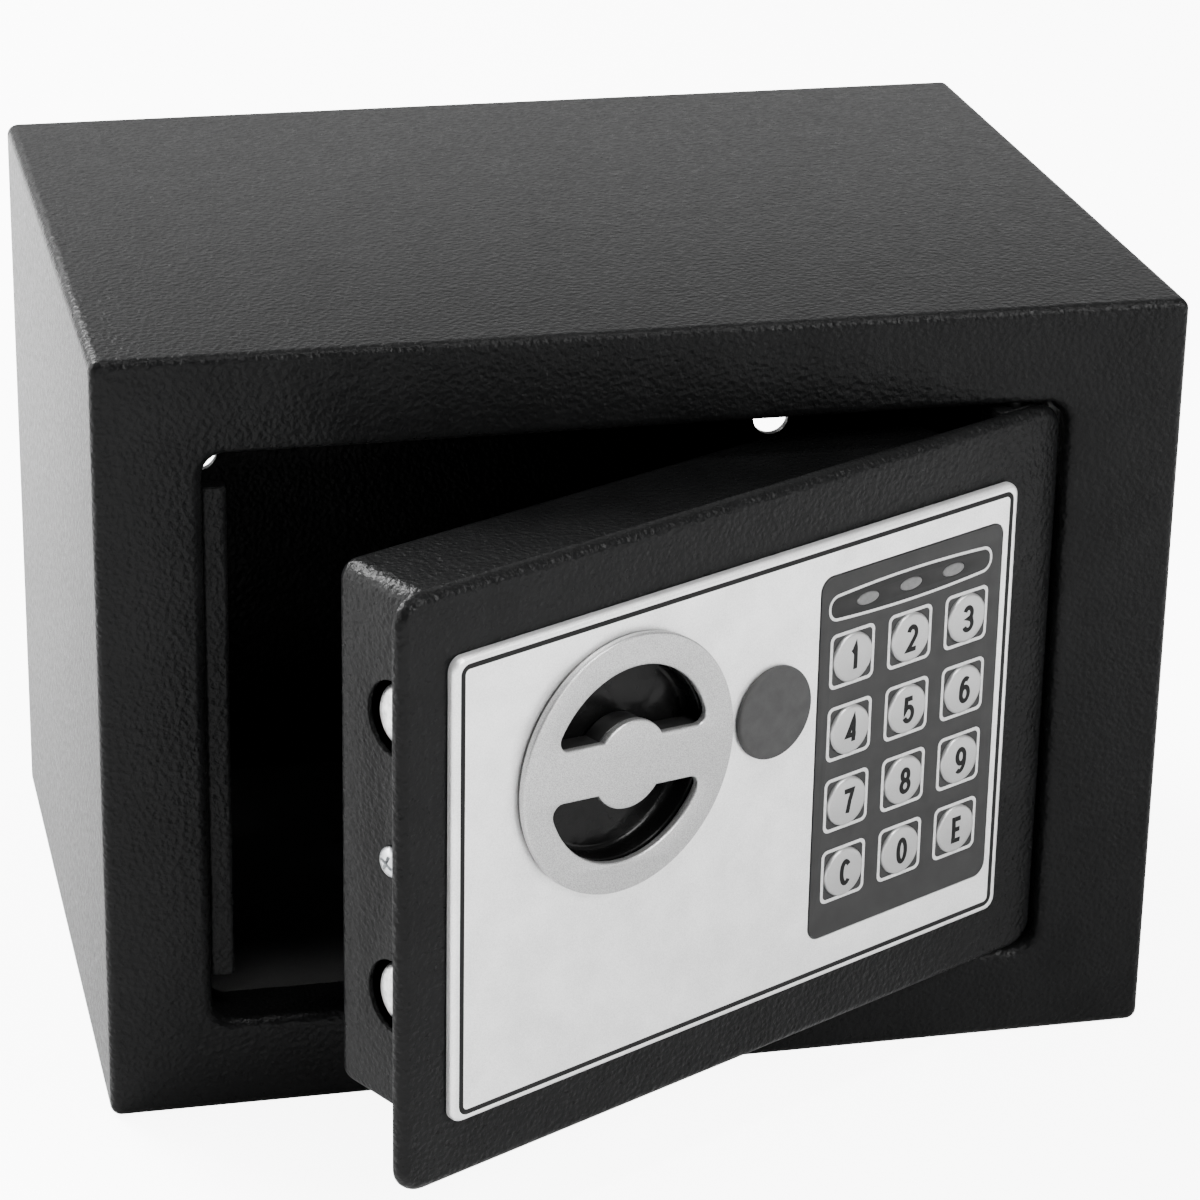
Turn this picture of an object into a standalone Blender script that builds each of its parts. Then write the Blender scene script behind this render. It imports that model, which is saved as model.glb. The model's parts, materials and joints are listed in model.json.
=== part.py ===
"""Small electronic safe with its door ajar, as an assembly of separate pieces.

Frame: the origin is the middle of the body's underside, +X to the right seen from
the front, +Y towards the back and +Z up. Every size below is in millimetres and is
turned into metres where the meshes and the empties are made.

The door is modelled shut in its own frame, whose origin is on the hinge axis: X runs
along the door towards the hinge edge, Y runs into the safe, and Z is height above the
floor. The empty door_axis then swings it open.
"""

import math

import bmesh
import bpy
from mathutils import Matrix, Vector

MM = 0.001
GAP = 0.3                      # left between pieces that touch

# ---- driving dimensions: body -------------------------------------------------------
BODY_W = 230.0
BODY_D = 170.0
BODY_H = 170.0
WALL = 2.0
BODY_CORNER = 2.5
FRONT_EDGE = 2.0
FRONT_Y = -BODY_D / 2
BACK_Y = BODY_D / 2

OPENING_LEFT = -92.8
OPENING_RIGHT = 89.6
OPENING_LOW = 20.6
OPENING_HIGH = 148.8
OPENING_CORNER = 4.8
OPENING_ROLL = 2.4             # rounding where the front turns into the reveal
REVEAL_DEPTH = 14.0

ANCHOR_HOLE_R = 4.5
ANCHOR_HOLE_X = 72.0
ANCHOR_HOLE_Z = 86.0

# ---- driving dimensions: door -------------------------------------------------------
REST_OPEN = 27.8               # degrees that the door stands open at rest
PLATE_W = 177.0
PLATE_H = 126.8
PLATE_T = 3.0
PLATE_CORNER = 6.0
PLATE_EDGE = 2.2
PLATE_LOW = 21.1
PLATE_PROUD = 2.2              # the shut plate stands this far in front of the body
SIDE_GAP = 1.7                 # between the shut plate and the opening
PIVOT_IN = 9.5                 # hinge axis in from the plate's hinge edge
PIVOT_BACK = 6.0               # hinge axis behind the plate's front

PIVOT_X = OPENING_RIGHT - SIDE_GAP - PIVOT_IN
PIVOT_Y = FRONT_Y - PLATE_PROUD + PIVOT_BACK
PLATE_X0 = PIVOT_IN - PLATE_W  # the plate's free edge, in the door's frame
PLATE_Y0 = -PIVOT_BACK         # the plate's front, in the door's frame
PLATE_MID_X = PLATE_X0 + PLATE_W / 2
PLATE_MID_Z = PLATE_LOW + PLATE_H / 2

HINGE_PIN_R = 1.75
HINGE_LUG_H = 8.5
HINGE_LUG_X = (-5.5, 4.5)      # ends of each lug along the door
HINGE_LUG_BACK = 4.2

STRIKER_W = 5.2
STRIKER_D = 4.0
STRIKER_MID_Y = FRONT_Y + 7.5
STRIKER_LOW = 29.0
STRIKER_HIGH = 140.0
MAT_T = 2.0
MAT_MARGIN_X = 4.0             # between the mat and each side wall
MAT_MARGIN_Y = 6.0             # between the mat and the back wall, and the reveal

# ---- driving dimensions: fascia, knob and keypad ------------------------------------
FASCIA_W = 151.5
FASCIA_H = 99.4
FASCIA_CORNER = 3.0
FASCIA_FRONT = 2.2             # height of its front above the plate
FASCIA_X = PLATE_X0 + 86.65
FASCIA_Z = PLATE_LOW + 63.4

KNOB_X = PLATE_X0 + 53.5
KNOB_Z = PLATE_LOW + 80.4
KNOB_R = 27.2
KNOB_T = 2.0
KNOB_TILT = 6.5                # degrees that the bar leans at rest
KNOB_BAR = 11.0
KNOB_HUB_R = 9.3
FINGER_R = 20.6                # radius of the two finger cut-outs
DISH_WALL = 1.2
DISH_DEPTH = 2.5               # floor of the dish below the plate's front
SPINDLE_R = 3.0

CAP_X = PLATE_X0 + 93.2
CAP_Z = PLATE_LOW + 79.8
CAP_R = 10.0
CYLINDER_R = 8.2
ROTOR_R = 6.0

PAD_W = 52.0
PAD_H = 81.6
PAD_CORNER = 3.0
PAD_X = PLATE_X0 + 131.9
PAD_Z = PLATE_LOW + 64.4
KEY_R = 5.4
KEY_PITCH_X = 16.45
KEY_PITCH_Z = 16.27
KEY_TOP_ROW_Z = PLATE_LOW + 86.1
KEY_ROWS = (("1", "2", "3"), ("4", "5", "6"), ("7", "8", "9"), ("clear", "0", "enter"))
LIGHT_BAR_W = 46.3
LIGHT_BAR_H = 6.7
LIGHT_BAR_Z = PLATE_LOW + 98.05
LIGHT_PITCH = 12.3
LIGHT_W = 6.2
LIGHT_H = 2.7
LIGHTS = ("light_low_battery", "light_ready", "light_open")

# ---- driving dimensions: lock case and lock -----------------------------------------
CASE_INSET_FREE = 15.0         # from the plate's free edge
CASE_INSET_HINGE = 17.0        # from the plate's hinge edge
CASE_LOW = 25.5
CASE_H = 115.0
CASE_DEPTH = 36.2
CASE_WALL = 1.2
CASE_CORNER = 4.0
CASE_EDGE = 2.5
CASE_FRONT = PLATE_T + GAP     # behind the plate's front
CASE_BACK = CASE_FRONT + CASE_DEPTH
CASE_X0 = PLATE_X0 + CASE_INSET_FREE
CASE_X1 = PIVOT_IN - CASE_INSET_HINGE
CASE_MID_X = (CASE_X0 + CASE_X1) / 2
CASE_MID_Z = CASE_LOW + CASE_H / 2

BOLT_R = 7.0
BOLT_HOLE_R = 8.0
BOLT_MID_Z = 82.2
BOLT_SPREAD = 30.3             # each bolt above or below the middle
BOLT_DEPTH = 21.6              # bolt axis behind the plate's front
BOLT_THROW = 16.5
BOLT_RECESS = 0.6
BOLT_LENGTH = 27.4
BOLT_X0 = CASE_X0 + BOLT_RECESS
CARRIAGE_T = 2.0
CARRIAGE_X0 = BOLT_X0 + BOLT_LENGTH + GAP
CARRIAGE_X1 = CARRIAGE_X0 + 38.7
CARRIAGE_DEPTH = 25.0          # front of its web behind the plate's front
CRANK_R = BOLT_THROW / math.sqrt(2)
CRANK_PIN_R = 2.2
CRANK_DEPTH = 20.6
CRANK_T = 2.4
POST_X = PLATE_X0 + 53.0
POST_R = 2.5
POST_LOW_Z = 60.0
POST_HIGH_Z = 75.0
PLUNGER_X = PLATE_X0 + 54.0
PLUNGER_R = 2.5
PLUNGER_TOP = 49.4
WEB_LOW = 50.0

CELL_R = 7.1
CELL_LENGTH = 49.0
CELL_PITCH = 15.0
BATTERY_X = PLATE_X0 + 128.0
BATTERY_Z = 92.0
BATTERY_W = 56.0
BATTERY_H = 63.0
BATTERY_FRONT = 22.0
BATTERY_WALL = 1.2
BATTERY_RIM = 1.5              # width of the case that overlaps the holder all round

RESET_X = PLATE_X0 + 90.0
RESET_Z = 44.0
RESET_R = 3.1
RESET_FLANGE_R = 4.6
RESET_START = 33.0             # inner end of the button behind the plate's front

SCREW_HOLE_R = 2.2
SCREW_HEAD_R = 3.2
SCREW_R = 1.8
SCREW_REACH = 3.4              # into the case from its outside
BRACKET_T = 1.5
BRACKET_FOOT = 12.0
BRACKET_H = 18.0

ROUND = 24                     # sides on a medium round piece
SMALL_ROUND = 16               # sides on a small one
CORNER_STEPS = 3               # flats in a rounded corner


# ---- shapes -------------------------------------------------------------------------
def circle(x, z, radius, sides=ROUND):
    """Points of a circle, anticlockwise seen from the front."""
    steps = [2 * math.pi * i / sides for i in range(sides)]
    return [(x + radius * math.cos(a), z + radius * math.sin(a)) for a in steps]


def arc(x, z, radius, start, end, steps):
    """Points along an arc, with start and end in degrees."""
    turns = [math.radians(start + (end - start) * i / steps) for i in range(steps + 1)]
    return [(x + radius * math.cos(a), z + radius * math.sin(a)) for a in turns]


def rounded(x, z, width, height, radius, steps=CORNER_STEPS):
    """Outline of a rectangle with round corners about the middle x, z."""
    half_w = width / 2 - radius
    half_h = height / 2 - radius
    points = []
    for quarter, (side_x, side_z) in enumerate(((1, 1), (-1, 1), (-1, -1), (1, -1))):
        points += arc(x + side_x * half_w, z + side_z * half_h, radius,
                      quarter * 90, quarter * 90 + 90, steps)
    return points


def depth(outline, y):
    """An outline in X and Z, set at depth y."""
    return [(x, y, z) for x, z in outline]


def loft(rings, ring_closed=False):
    """Skin through rings of equal length, capped unless the last meets the first."""
    bm = bmesh.new()
    loops = [[bm.verts.new(point) for point in ring] for ring in rings]
    count = len(loops)
    for index in range(count if ring_closed else count - 1):
        near = loops[index]
        far = loops[(index + 1) % count]
        for i in range(len(near)):
            j = (i + 1) % len(near)
            bm.faces.new((near[i], near[j], far[j], far[i]))
    if not ring_closed:
        bm.faces.new(loops[0])
        bm.faces.new(loops[-1])
    return bm


def turned(profile, sides=ROUND):
    """Solid of revolution about Y from (radius, y) pairs; a zero radius is a point."""
    bm = bmesh.new()
    loops = []
    for radius, y in profile:
        if radius == 0:
            loops.append([bm.verts.new((0, y, 0))])
        else:
            loops.append([bm.verts.new(p) for p in depth(circle(0, 0, radius, sides), y)])
    for near, far in zip(loops, loops[1:]):
        for i in range(sides):
            j = (i + 1) % sides
            corners = [near[i % len(near)], near[j % len(near)],
                       far[j % len(far)], far[i % len(far)]]
            bm.faces.new(list(dict.fromkeys(corners)))
    return bm


def block(x0, x1, y0, y1, z0, z1):
    """A box between two corners."""
    outline = [(x0, z0), (x1, z0), (x1, z1), (x0, z1)]
    return loft([depth(outline, y0), depth(outline, y1)])


def prism(outline, y0, y1):
    """An outline made thick in depth."""
    return loft([depth(outline, y0), depth(outline, y1)])


def placed(bm, place):
    """Move a shape to a place."""
    bm.transform(Matrix.Translation(Vector(place)))
    return bm


def gathered(shapes):
    """Several separate shapes in one bmesh, for a cutter."""
    together = bmesh.new()
    for shape in shapes:
        mesh = bpy.data.meshes.new("gathered")
        shape.to_mesh(mesh)
        shape.free()
        together.from_mesh(mesh)
        bpy.data.meshes.remove(mesh)
    return together


def quarter_round(radius, steps=3):
    """(inset, offset) pairs that turn a flat face into a side."""
    turns = [math.radians(90 * i / steps) for i in range(steps + 1)]
    return [(radius * (1 - math.sin(a)), radius * (1 - math.cos(a))) for a in turns]


def slab(x, z, width, height, corner, y0, y1, edge):
    """A flat rounded rectangle whose front edge is rounded."""
    rings = []
    for inset, offset in quarter_round(edge):
        ring = rounded(x, z, width - 2 * inset, height - 2 * inset, corner - inset)
        rings.append(depth(ring, y0 + offset))
    rings.append(depth(rounded(x, z, width, height, corner), y1))
    return loft(rings)


# ---- objects ------------------------------------------------------------------------
def material(name, colour, roughness, metallic):
    """A plain Principled BSDF material."""
    made = bpy.data.materials.new(name)
    made.use_nodes = True
    shader = made.node_tree.nodes["Principled BSDF"]
    shader.inputs["Base Color"].default_value = (*colour, 1)
    shader.inputs["Roughness"].default_value = roughness
    shader.inputs["Metallic"].default_value = metallic
    return made


def empty(name, place, parent=None, rotation=(0, 0, 0)):
    """A named axis that pieces hang from."""
    made = bpy.data.objects.new(name, None)
    made.location = Vector(place) * MM
    made.rotation_euler = [math.radians(angle) for angle in rotation]
    made.parent = parent
    bpy.context.collection.objects.link(made)
    return made


def piece(name, bm, finish, parent=None, place=(0, 0, 0), turn=None):
    """Turn a bmesh in millimetres into one named object."""
    if turn is not None:
        bm.transform(turn)
    bm.transform(Matrix.Scale(MM, 4))
    bmesh.ops.recalc_face_normals(bm, faces=bm.faces)
    mesh = bpy.data.meshes.new(name)
    bm.to_mesh(mesh)
    bm.free()
    mesh.shade_smooth()
    mesh.set_sharp_from_angle(angle=math.radians(35))
    made = bpy.data.objects.new(name, mesh)
    if finish is not None:
        mesh.materials.append(finish)
    made.location = Vector(place) * MM
    made.parent = parent
    bpy.context.collection.objects.link(made)
    return made


def cut(target, name, bm, place=(0, 0, 0), turn=None):
    """Cut a shape out of a piece; the cutter shares the piece's parent."""
    cutter = piece(name, bm, None, target.parent, place, turn)
    cutter.hide_render = True
    cutter.display_type = "WIRE"
    boolean = target.modifiers.new(name, "BOOLEAN")
    boolean.operation = "DIFFERENCE"
    boolean.object = cutter


ALONG_X = Matrix.Rotation(math.radians(-90), 4, "Z")   # turns +Y to +X
ALONG_Z = Matrix.Rotation(math.radians(90), 4, "X")    # turns +Y to +Z


def rod(radius, start, end, sides=ROUND):
    """A plain round bar along Y."""
    return turned([(0, start), (radius, start), (radius, end), (0, end)], sides)


# ---- body ---------------------------------------------------------------------------
def opening_ring(grow, y):
    """The door opening's outline, grown outwards all round."""
    width = OPENING_RIGHT - OPENING_LEFT + 2 * grow
    height = OPENING_HIGH - OPENING_LOW + 2 * grow
    middle_x = (OPENING_LEFT + OPENING_RIGHT) / 2
    middle_z = (OPENING_LOW + OPENING_HIGH) / 2
    return depth(rounded(middle_x, middle_z, width, height, OPENING_CORNER + grow), y)


def body_ring(inset, y):
    """The body's outline, drawn in all round."""
    width = BODY_W - 2 * inset
    height = BODY_H - 2 * inset
    corner = max(BODY_CORNER - inset, 0.4)
    return depth(rounded(0, BODY_H / 2, width, height, corner), y)


def make_body_shell(paint):
    """Wrapper, front frame and reveal, welded into one sheet-steel shell."""
    rings = [body_ring(0, BACK_Y)]
    for inset, offset in reversed(quarter_round(FRONT_EDGE)):
        rings.append(body_ring(inset, FRONT_Y + offset))
    for inset, offset in quarter_round(OPENING_ROLL):
        rings.append(opening_ring(inset, FRONT_Y + offset))
    rings.append(opening_ring(0, FRONT_Y + REVEAL_DEPTH))
    rings.append(opening_ring(WALL, FRONT_Y + REVEAL_DEPTH))
    rings.append(opening_ring(WALL, FRONT_Y + WALL))
    rings.append(body_ring(WALL, FRONT_Y + WALL))
    rings.append(body_ring(WALL, BACK_Y))
    shell = piece("body_shell", loft(rings, ring_closed=True), paint)
    for side, height in (("low", OPENING_LOW), ("high", OPENING_HIGH)):
        hole = rod(HINGE_PIN_R + GAP, -2 * WALL, 2 * WALL, SMALL_ROUND)
        cut(shell, "cut_hinge_" + side, hole, (PIVOT_X, PIVOT_Y, height), ALONG_Z)


def make_back_panel(paint):
    """Back wall, let into the wrapper, with its two anchor holes."""
    inset = WALL + GAP
    outline = rounded(0, BODY_H / 2, BODY_W - 2 * inset, BODY_H - 2 * inset, 0.4)
    back = piece("back_panel", prism(outline, BACK_Y - GAP - WALL, BACK_Y - GAP), paint)
    for side, x in (("left", -ANCHOR_HOLE_X), ("right", ANCHOR_HOLE_X)):
        hole = rod(ANCHOR_HOLE_R, -2 * WALL, 2 * WALL)
        cut(back, "cut_anchor_" + side, hole, (x, BACK_Y - GAP, ANCHOR_HOLE_Z))


def make_bolt_striker(paint):
    """Upright bar on the left reveal that the bolts catch behind."""
    middle_x = OPENING_LEFT + GAP + STRIKER_W / 2
    outline = rounded(middle_x, STRIKER_MID_Y, STRIKER_W, STRIKER_D, 0.8, 2)
    rings = [[(x, y, z) for x, y in outline] for z in (STRIKER_LOW, STRIKER_HIGH)]
    piece("bolt_striker", loft(rings), paint)


def make_floor_mat(felt):
    """Felt mat on the floor of the safe."""
    length_y = BODY_D - REVEAL_DEPTH - 2 * WALL - 2 * MAT_MARGIN_Y
    middle_y = (FRONT_Y + REVEAL_DEPTH + BACK_Y - GAP - WALL) / 2
    low_z = WALL + GAP
    half = BODY_W / 2 - WALL - MAT_MARGIN_X
    y0, y1 = middle_y - length_y / 2, middle_y + length_y / 2
    piece("floor_mat", block(-half, half, y0, y1, low_z, low_z + MAT_T), felt)


def make_hinge_pins(steel):
    """Pins that stand in the reveal, above and below, and enter the door's lugs."""
    length = HINGE_LUG_H + WALL + 1.5
    profile = [(0, 0), (HINGE_PIN_R - 0.4, 0), (HINGE_PIN_R, 0.5), (HINGE_PIN_R, length),
               (0, length)]
    down = Matrix.Rotation(math.radians(-90), 4, "X")
    piece("hinge_pin_upper", turned(profile, SMALL_ROUND), steel, None,
          (PIVOT_X, PIVOT_Y, OPENING_HIGH - HINGE_LUG_H), ALONG_Z)
    piece("hinge_pin_lower", turned(profile, SMALL_ROUND), steel, None,
          (PIVOT_X, PIVOT_Y, OPENING_LOW + HINGE_LUG_H), down)


# ---- door ---------------------------------------------------------------------------
def front(y):
    """Depth in the door's frame of a place that lies y behind the plate's front."""
    return PLATE_Y0 + y


def make_door_plate(door, paint):
    """Front plate with the holes for the knob's dish and the override lock."""
    shape = slab(PLATE_MID_X, PLATE_MID_Z, PLATE_W, PLATE_H, PLATE_CORNER,
                 front(0), front(PLATE_T), PLATE_EDGE)
    plate = piece("door_plate", shape, paint, door)
    dish = rod(FINGER_R + DISH_WALL + GAP, -PLATE_T, 2 * PLATE_T, 2 * ROUND)
    cut(plate, "cut_dish", dish, (KNOB_X, front(0), KNOB_Z))
    lock = rod(CYLINDER_R + GAP, -PLATE_T, 2 * PLATE_T)
    cut(plate, "cut_lock", lock, (CAP_X, front(0), CAP_Z))


def make_hinge_lugs(door, paint):
    """Two lugs behind the plate that turn on the hinge pins."""
    y0 = front(PLATE_T) + GAP
    heights = (("upper", PLATE_LOW + PLATE_H - HINGE_LUG_H), ("lower", PLATE_LOW))
    for side, low_z in heights:
        shape = block(*HINGE_LUG_X, y0, HINGE_LUG_BACK, low_z, low_z + HINGE_LUG_H)
        lug = piece("hinge_lug_" + side, shape, paint, door)
        hole = rod(HINGE_PIN_R + GAP, -1, HINGE_LUG_H + 1, SMALL_ROUND)
        cut(lug, "cut_lug_" + side, hole, (0, 0, low_z), ALONG_Z)


def case_ring(inset, y):
    """The lock case's outline, drawn in all round."""
    width = CASE_X1 - CASE_X0 - 2 * inset
    corner = CASE_CORNER - min(inset, CASE_CORNER - 1.2)
    return depth(rounded(CASE_MID_X, CASE_MID_Z, width, CASE_H - 2 * inset, corner), front(y))


def make_lock_case(door, paint):
    """Box behind the plate, open towards it, that covers the lock."""
    rings = [case_ring(CASE_WALL, CASE_BACK - CASE_WALL), case_ring(CASE_WALL, CASE_FRONT),
             case_ring(0, CASE_FRONT)]
    for inset, offset in reversed(quarter_round(CASE_EDGE)):
        rings.append(case_ring(inset, CASE_BACK - offset))
    case = piece("lock_case", loft(rings), paint, door)
    across = 4 * CASE_WALL
    for side, z in (("high", BOLT_MID_Z + BOLT_SPREAD), ("low", BOLT_MID_Z - BOLT_SPREAD)):
        cut(case, "cut_bolt_" + side, rod(BOLT_HOLE_R, -across, across, 2 * ROUND),
            (CASE_X0, front(BOLT_DEPTH), z), ALONG_X)
    for side, x in (("free", CASE_X0), ("hinge", CASE_X1)):
        cut(case, "cut_screw_" + side, rod(SCREW_HOLE_R, -across, across, SMALL_ROUND),
            (x, front(BOLT_DEPTH), BOLT_MID_Z), ALONG_X)
    half_w = BATTERY_W / 2 - BATTERY_RIM
    half_h = BATTERY_H / 2 - BATTERY_RIM
    window = block(BATTERY_X - half_w, BATTERY_X + half_w,
                   front(CASE_BACK - 2 * CASE_WALL), front(CASE_BACK + CASE_WALL),
                   BATTERY_Z - half_h, BATTERY_Z + half_h)
    cut(case, "cut_battery", window)
    cut(case, "cut_reset", rod(RESET_R + 0.5, -across, across, SMALL_ROUND),
        (RESET_X, front(CASE_BACK), RESET_Z))


def make_case_fixings(door, steel, paint):
    """An angle bracket and a side screw at each upright side of the lock case."""
    for side, wall_x, sign in (("free", CASE_X0, 1), ("hinge", CASE_X1, -1)):
        inner = wall_x + sign * (CASE_WALL + GAP)
        foot = inner + sign * BRACKET_FOOT
        bend = inner + sign * BRACKET_T
        end = BOLT_DEPTH + 6
        outline = [(inner, front(CASE_FRONT)), (foot, front(CASE_FRONT)),
                   (foot, front(CASE_FRONT + BRACKET_T)),
                   (bend, front(CASE_FRONT + BRACKET_T)),
                   (bend, front(end)), (inner, front(end))]
        heights = (BOLT_MID_Z - BRACKET_H / 2, BOLT_MID_Z + BRACKET_H / 2)
        rings = [[(x, y, z) for x, y in outline] for z in heights]
        bracket = piece("case_bracket_" + side, loft(rings), paint, door)
        place = (wall_x, front(BOLT_DEPTH), BOLT_MID_Z)
        cut(bracket, "cut_bracket_" + side, rod(SCREW_HOLE_R, -6, 6, SMALL_ROUND), place, ALONG_X)
        profile = [(0, -1.9), (1.9, -1.7), (SCREW_HEAD_R, -0.8), (SCREW_HEAD_R, -GAP),
                   (SCREW_R, -GAP), (SCREW_R, SCREW_REACH), (0, SCREW_REACH)]
        turn = ALONG_X if sign > 0 else ALONG_X.inverted()
        piece("case_screw_" + side, turned(profile, SMALL_ROUND), steel, door, place, turn)


def make_fascia(door, silver):
    """Front panel with a window for the keypad and holes for knob dish and lock."""
    shape = slab(FASCIA_X, FASCIA_Z, FASCIA_W, FASCIA_H, FASCIA_CORNER,
                 front(-FASCIA_FRONT), front(-GAP), 1.2)
    fascia = piece("fascia_panel", shape, silver, door)
    deep = 2 * FASCIA_FRONT
    cut(fascia, "cut_fascia_dish", rod(FINGER_R + DISH_WALL + GAP, -deep, deep, 2 * ROUND),
        (KNOB_X, front(0), KNOB_Z))
    cut(fascia, "cut_fascia_lock", rod(CYLINDER_R + GAP, -deep, deep),
        (CAP_X, front(0), CAP_Z))
    window = prism(rounded(PAD_X, PAD_Z, PAD_W + 2 * GAP, PAD_H + 2 * GAP, PAD_CORNER + GAP),
                   front(-deep), front(deep))
    cut(fascia, "cut_fascia_pad", window)


def make_knob(knob, silver, black, steel):
    """Turning knob: pierced face, bar and hub behind it, spindle and crank."""
    face = turned([(0, -2.6 - KNOB_T), (KNOB_R - 0.5, -2.6 - KNOB_T), (KNOB_R, -2.1 - KNOB_T),
                   (KNOB_R, -2.6), (0, -2.6)], 2 * ROUND)
    disc = piece("knob_face", face, silver, knob)
    for side, turn in (("upper", 0), ("lower", 180)):
        about = Matrix.Rotation(math.radians(turn), 4, "Y")
        cut(disc, "cut_finger_" + side, prism(finger_outline(), -3 * KNOB_T, KNOB_T),
            (0, 0, 0), about)
    bar = core_outline(KNOB_BAR / 2 - GAP, KNOB_HUB_R - GAP, FINGER_R - 2 * GAP)
    piece("knob_core", prism(bar, -2.6 + GAP, DISH_DEPTH - 2 * GAP), black, knob)
    spindle_start = DISH_DEPTH - GAP
    piece("knob_spindle", rod(SPINDLE_R, spindle_start, CRANK_DEPTH - GAP, SMALL_ROUND),
          steel, knob)


def finger_outline():
    """One finger cut-out: a segment of a circle with round ends and a notch for the hub."""
    edge = KNOB_BAR / 2
    corner = 2.4
    reach = math.sqrt((FINGER_R - corner) ** 2 - (edge + corner) ** 2)
    lean = math.degrees(math.atan2(edge + corner, reach))
    hub = math.degrees(math.asin(edge / KNOB_HUB_R))
    points = arc(reach, edge + corner, corner, -90, lean, 3)
    points += arc(0, 0, FINGER_R, lean, 180 - lean, 16)[1:-1]
    points += arc(-reach, edge + corner, corner, 180 - lean, 270, 3)
    points += arc(0, 0, KNOB_HUB_R, 180 - hub, hub, 8)
    return points


def core_outline(half_bar, hub_r, reach):
    """A bar with a round hub in its middle and round ends."""
    hub = math.degrees(math.asin(half_bar / hub_r))
    tip = math.degrees(math.asin(half_bar / reach))
    points = arc(0, 0, reach, -tip, tip, 3)
    points += arc(0, 0, hub_r, hub, 180 - hub, 8)
    points += arc(0, 0, reach, 180 - tip, 180 + tip, 3)
    points += arc(0, 0, hub_r, 180 + hub, 360 - hub, 8)
    return points


def make_crank(crank, steel):
    """Crank arm on the spindle's end, with the pin that drives the carriage."""
    half = 3.6
    arm = arc(0, CRANK_R, half, 0, 180, 6) + arc(0, 0, 5.0, 180 - 44, 360 + 44, 12)
    solid = piece("crank_arm", prism(arm, CRANK_DEPTH, CRANK_DEPTH + CRANK_T), steel, crank)
    pin_end = CARRIAGE_DEPTH + CARRIAGE_T + 1.5
    pin = piece("guide_crank_pin", rod(CRANK_PIN_R, CRANK_DEPTH + 1, pin_end, SMALL_ROUND),
                None, crank, (0, 0, CRANK_R))
    pin.hide_render = True
    pin.display_type = "WIRE"
    union = solid.modifiers.new("crank_pin", "BOOLEAN")
    union.operation = "UNION"
    union.object = pin


def make_knob_dish(knob, black):
    """Round dish behind the knob, let through the fascia and the plate."""
    outer = FINGER_R + DISH_WALL
    floor = DISH_DEPTH
    profile = [(SPINDLE_R + 0.5, floor), (FINGER_R, floor), (FINGER_R, -FASCIA_FRONT + 0.1),
               (outer, -FASCIA_FRONT + 0.1), (outer, floor + DISH_WALL),
               (SPINDLE_R + 0.5, floor + DISH_WALL)]
    sides = 2 * ROUND
    rings = [depth(circle(0, 0, radius, sides), y) for radius, y in profile]
    piece("knob_dish", loft(rings, ring_closed=True), black, knob)


def make_override_lock(door, cap_grey, brass, steel):
    """Key lock behind a pull-off cap: housing, turning rotor and cam."""
    place = (CAP_X, front(0), CAP_Z)
    cap_front = -FASCIA_FRONT - GAP - 1.2
    cap_profile = [(0, cap_front), (CAP_R - 0.7, cap_front), (CAP_R, cap_front + 0.5),
                   (CAP_R, -FASCIA_FRONT - GAP), (CYLINDER_R - 0.4, -FASCIA_FRONT - GAP),
                   (CYLINDER_R - 0.4, 0), (CYLINDER_R - 1.6, 0),
                   (CYLINDER_R - 1.6, cap_front + 1.0), (0, cap_front + 1.0)]
    piece("override_cap", turned(cap_profile), cap_grey, door, place)
    bore = ROTOR_R + 0.2
    housing = [(bore, 0.6), (CYLINDER_R, 0.6), (CYLINDER_R, 20.0), (bore, 20.0)]
    rings = [depth(circle(0, 0, radius), y) for radius, y in housing]
    piece("override_housing", loft(rings, ring_closed=True), brass, door, place)
    rotor = piece("override_rotor", rod(ROTOR_R, 0.8, 21.0), brass, door, place)
    cut(rotor, "cut_keyway", block(-0.9, 0.9, -1.0, 6.0, -3.6, 3.6), place)
    cam = arc(0, 0, 5.5, 30, 150, 5) + arc(0, -13.0, 3.0, 200, 340, 4)
    piece("override_cam", prism(cam, 21.0 + GAP, 23.3), steel, door, place)


def key_places():
    """Name, x and z of every key, row by row."""
    places = []
    for row, names in enumerate(KEY_ROWS):
        for column, name in enumerate(names):
            x = PAD_X + (column - 1) * KEY_PITCH_X - 0.4
            places.append((name, x, KEY_TOP_ROW_Z - row * KEY_PITCH_Z))
    return places


def light_outline(x, grow=0.0):
    """The oval of one indicator light."""
    steps = [2 * math.pi * i / SMALL_ROUND for i in range(SMALL_ROUND)]
    return [(x + (LIGHT_W / 2 + grow) * math.cos(a),
             LIGHT_BAR_Z + (LIGHT_H / 2 + grow) * math.sin(a)) for a in steps]


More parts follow.
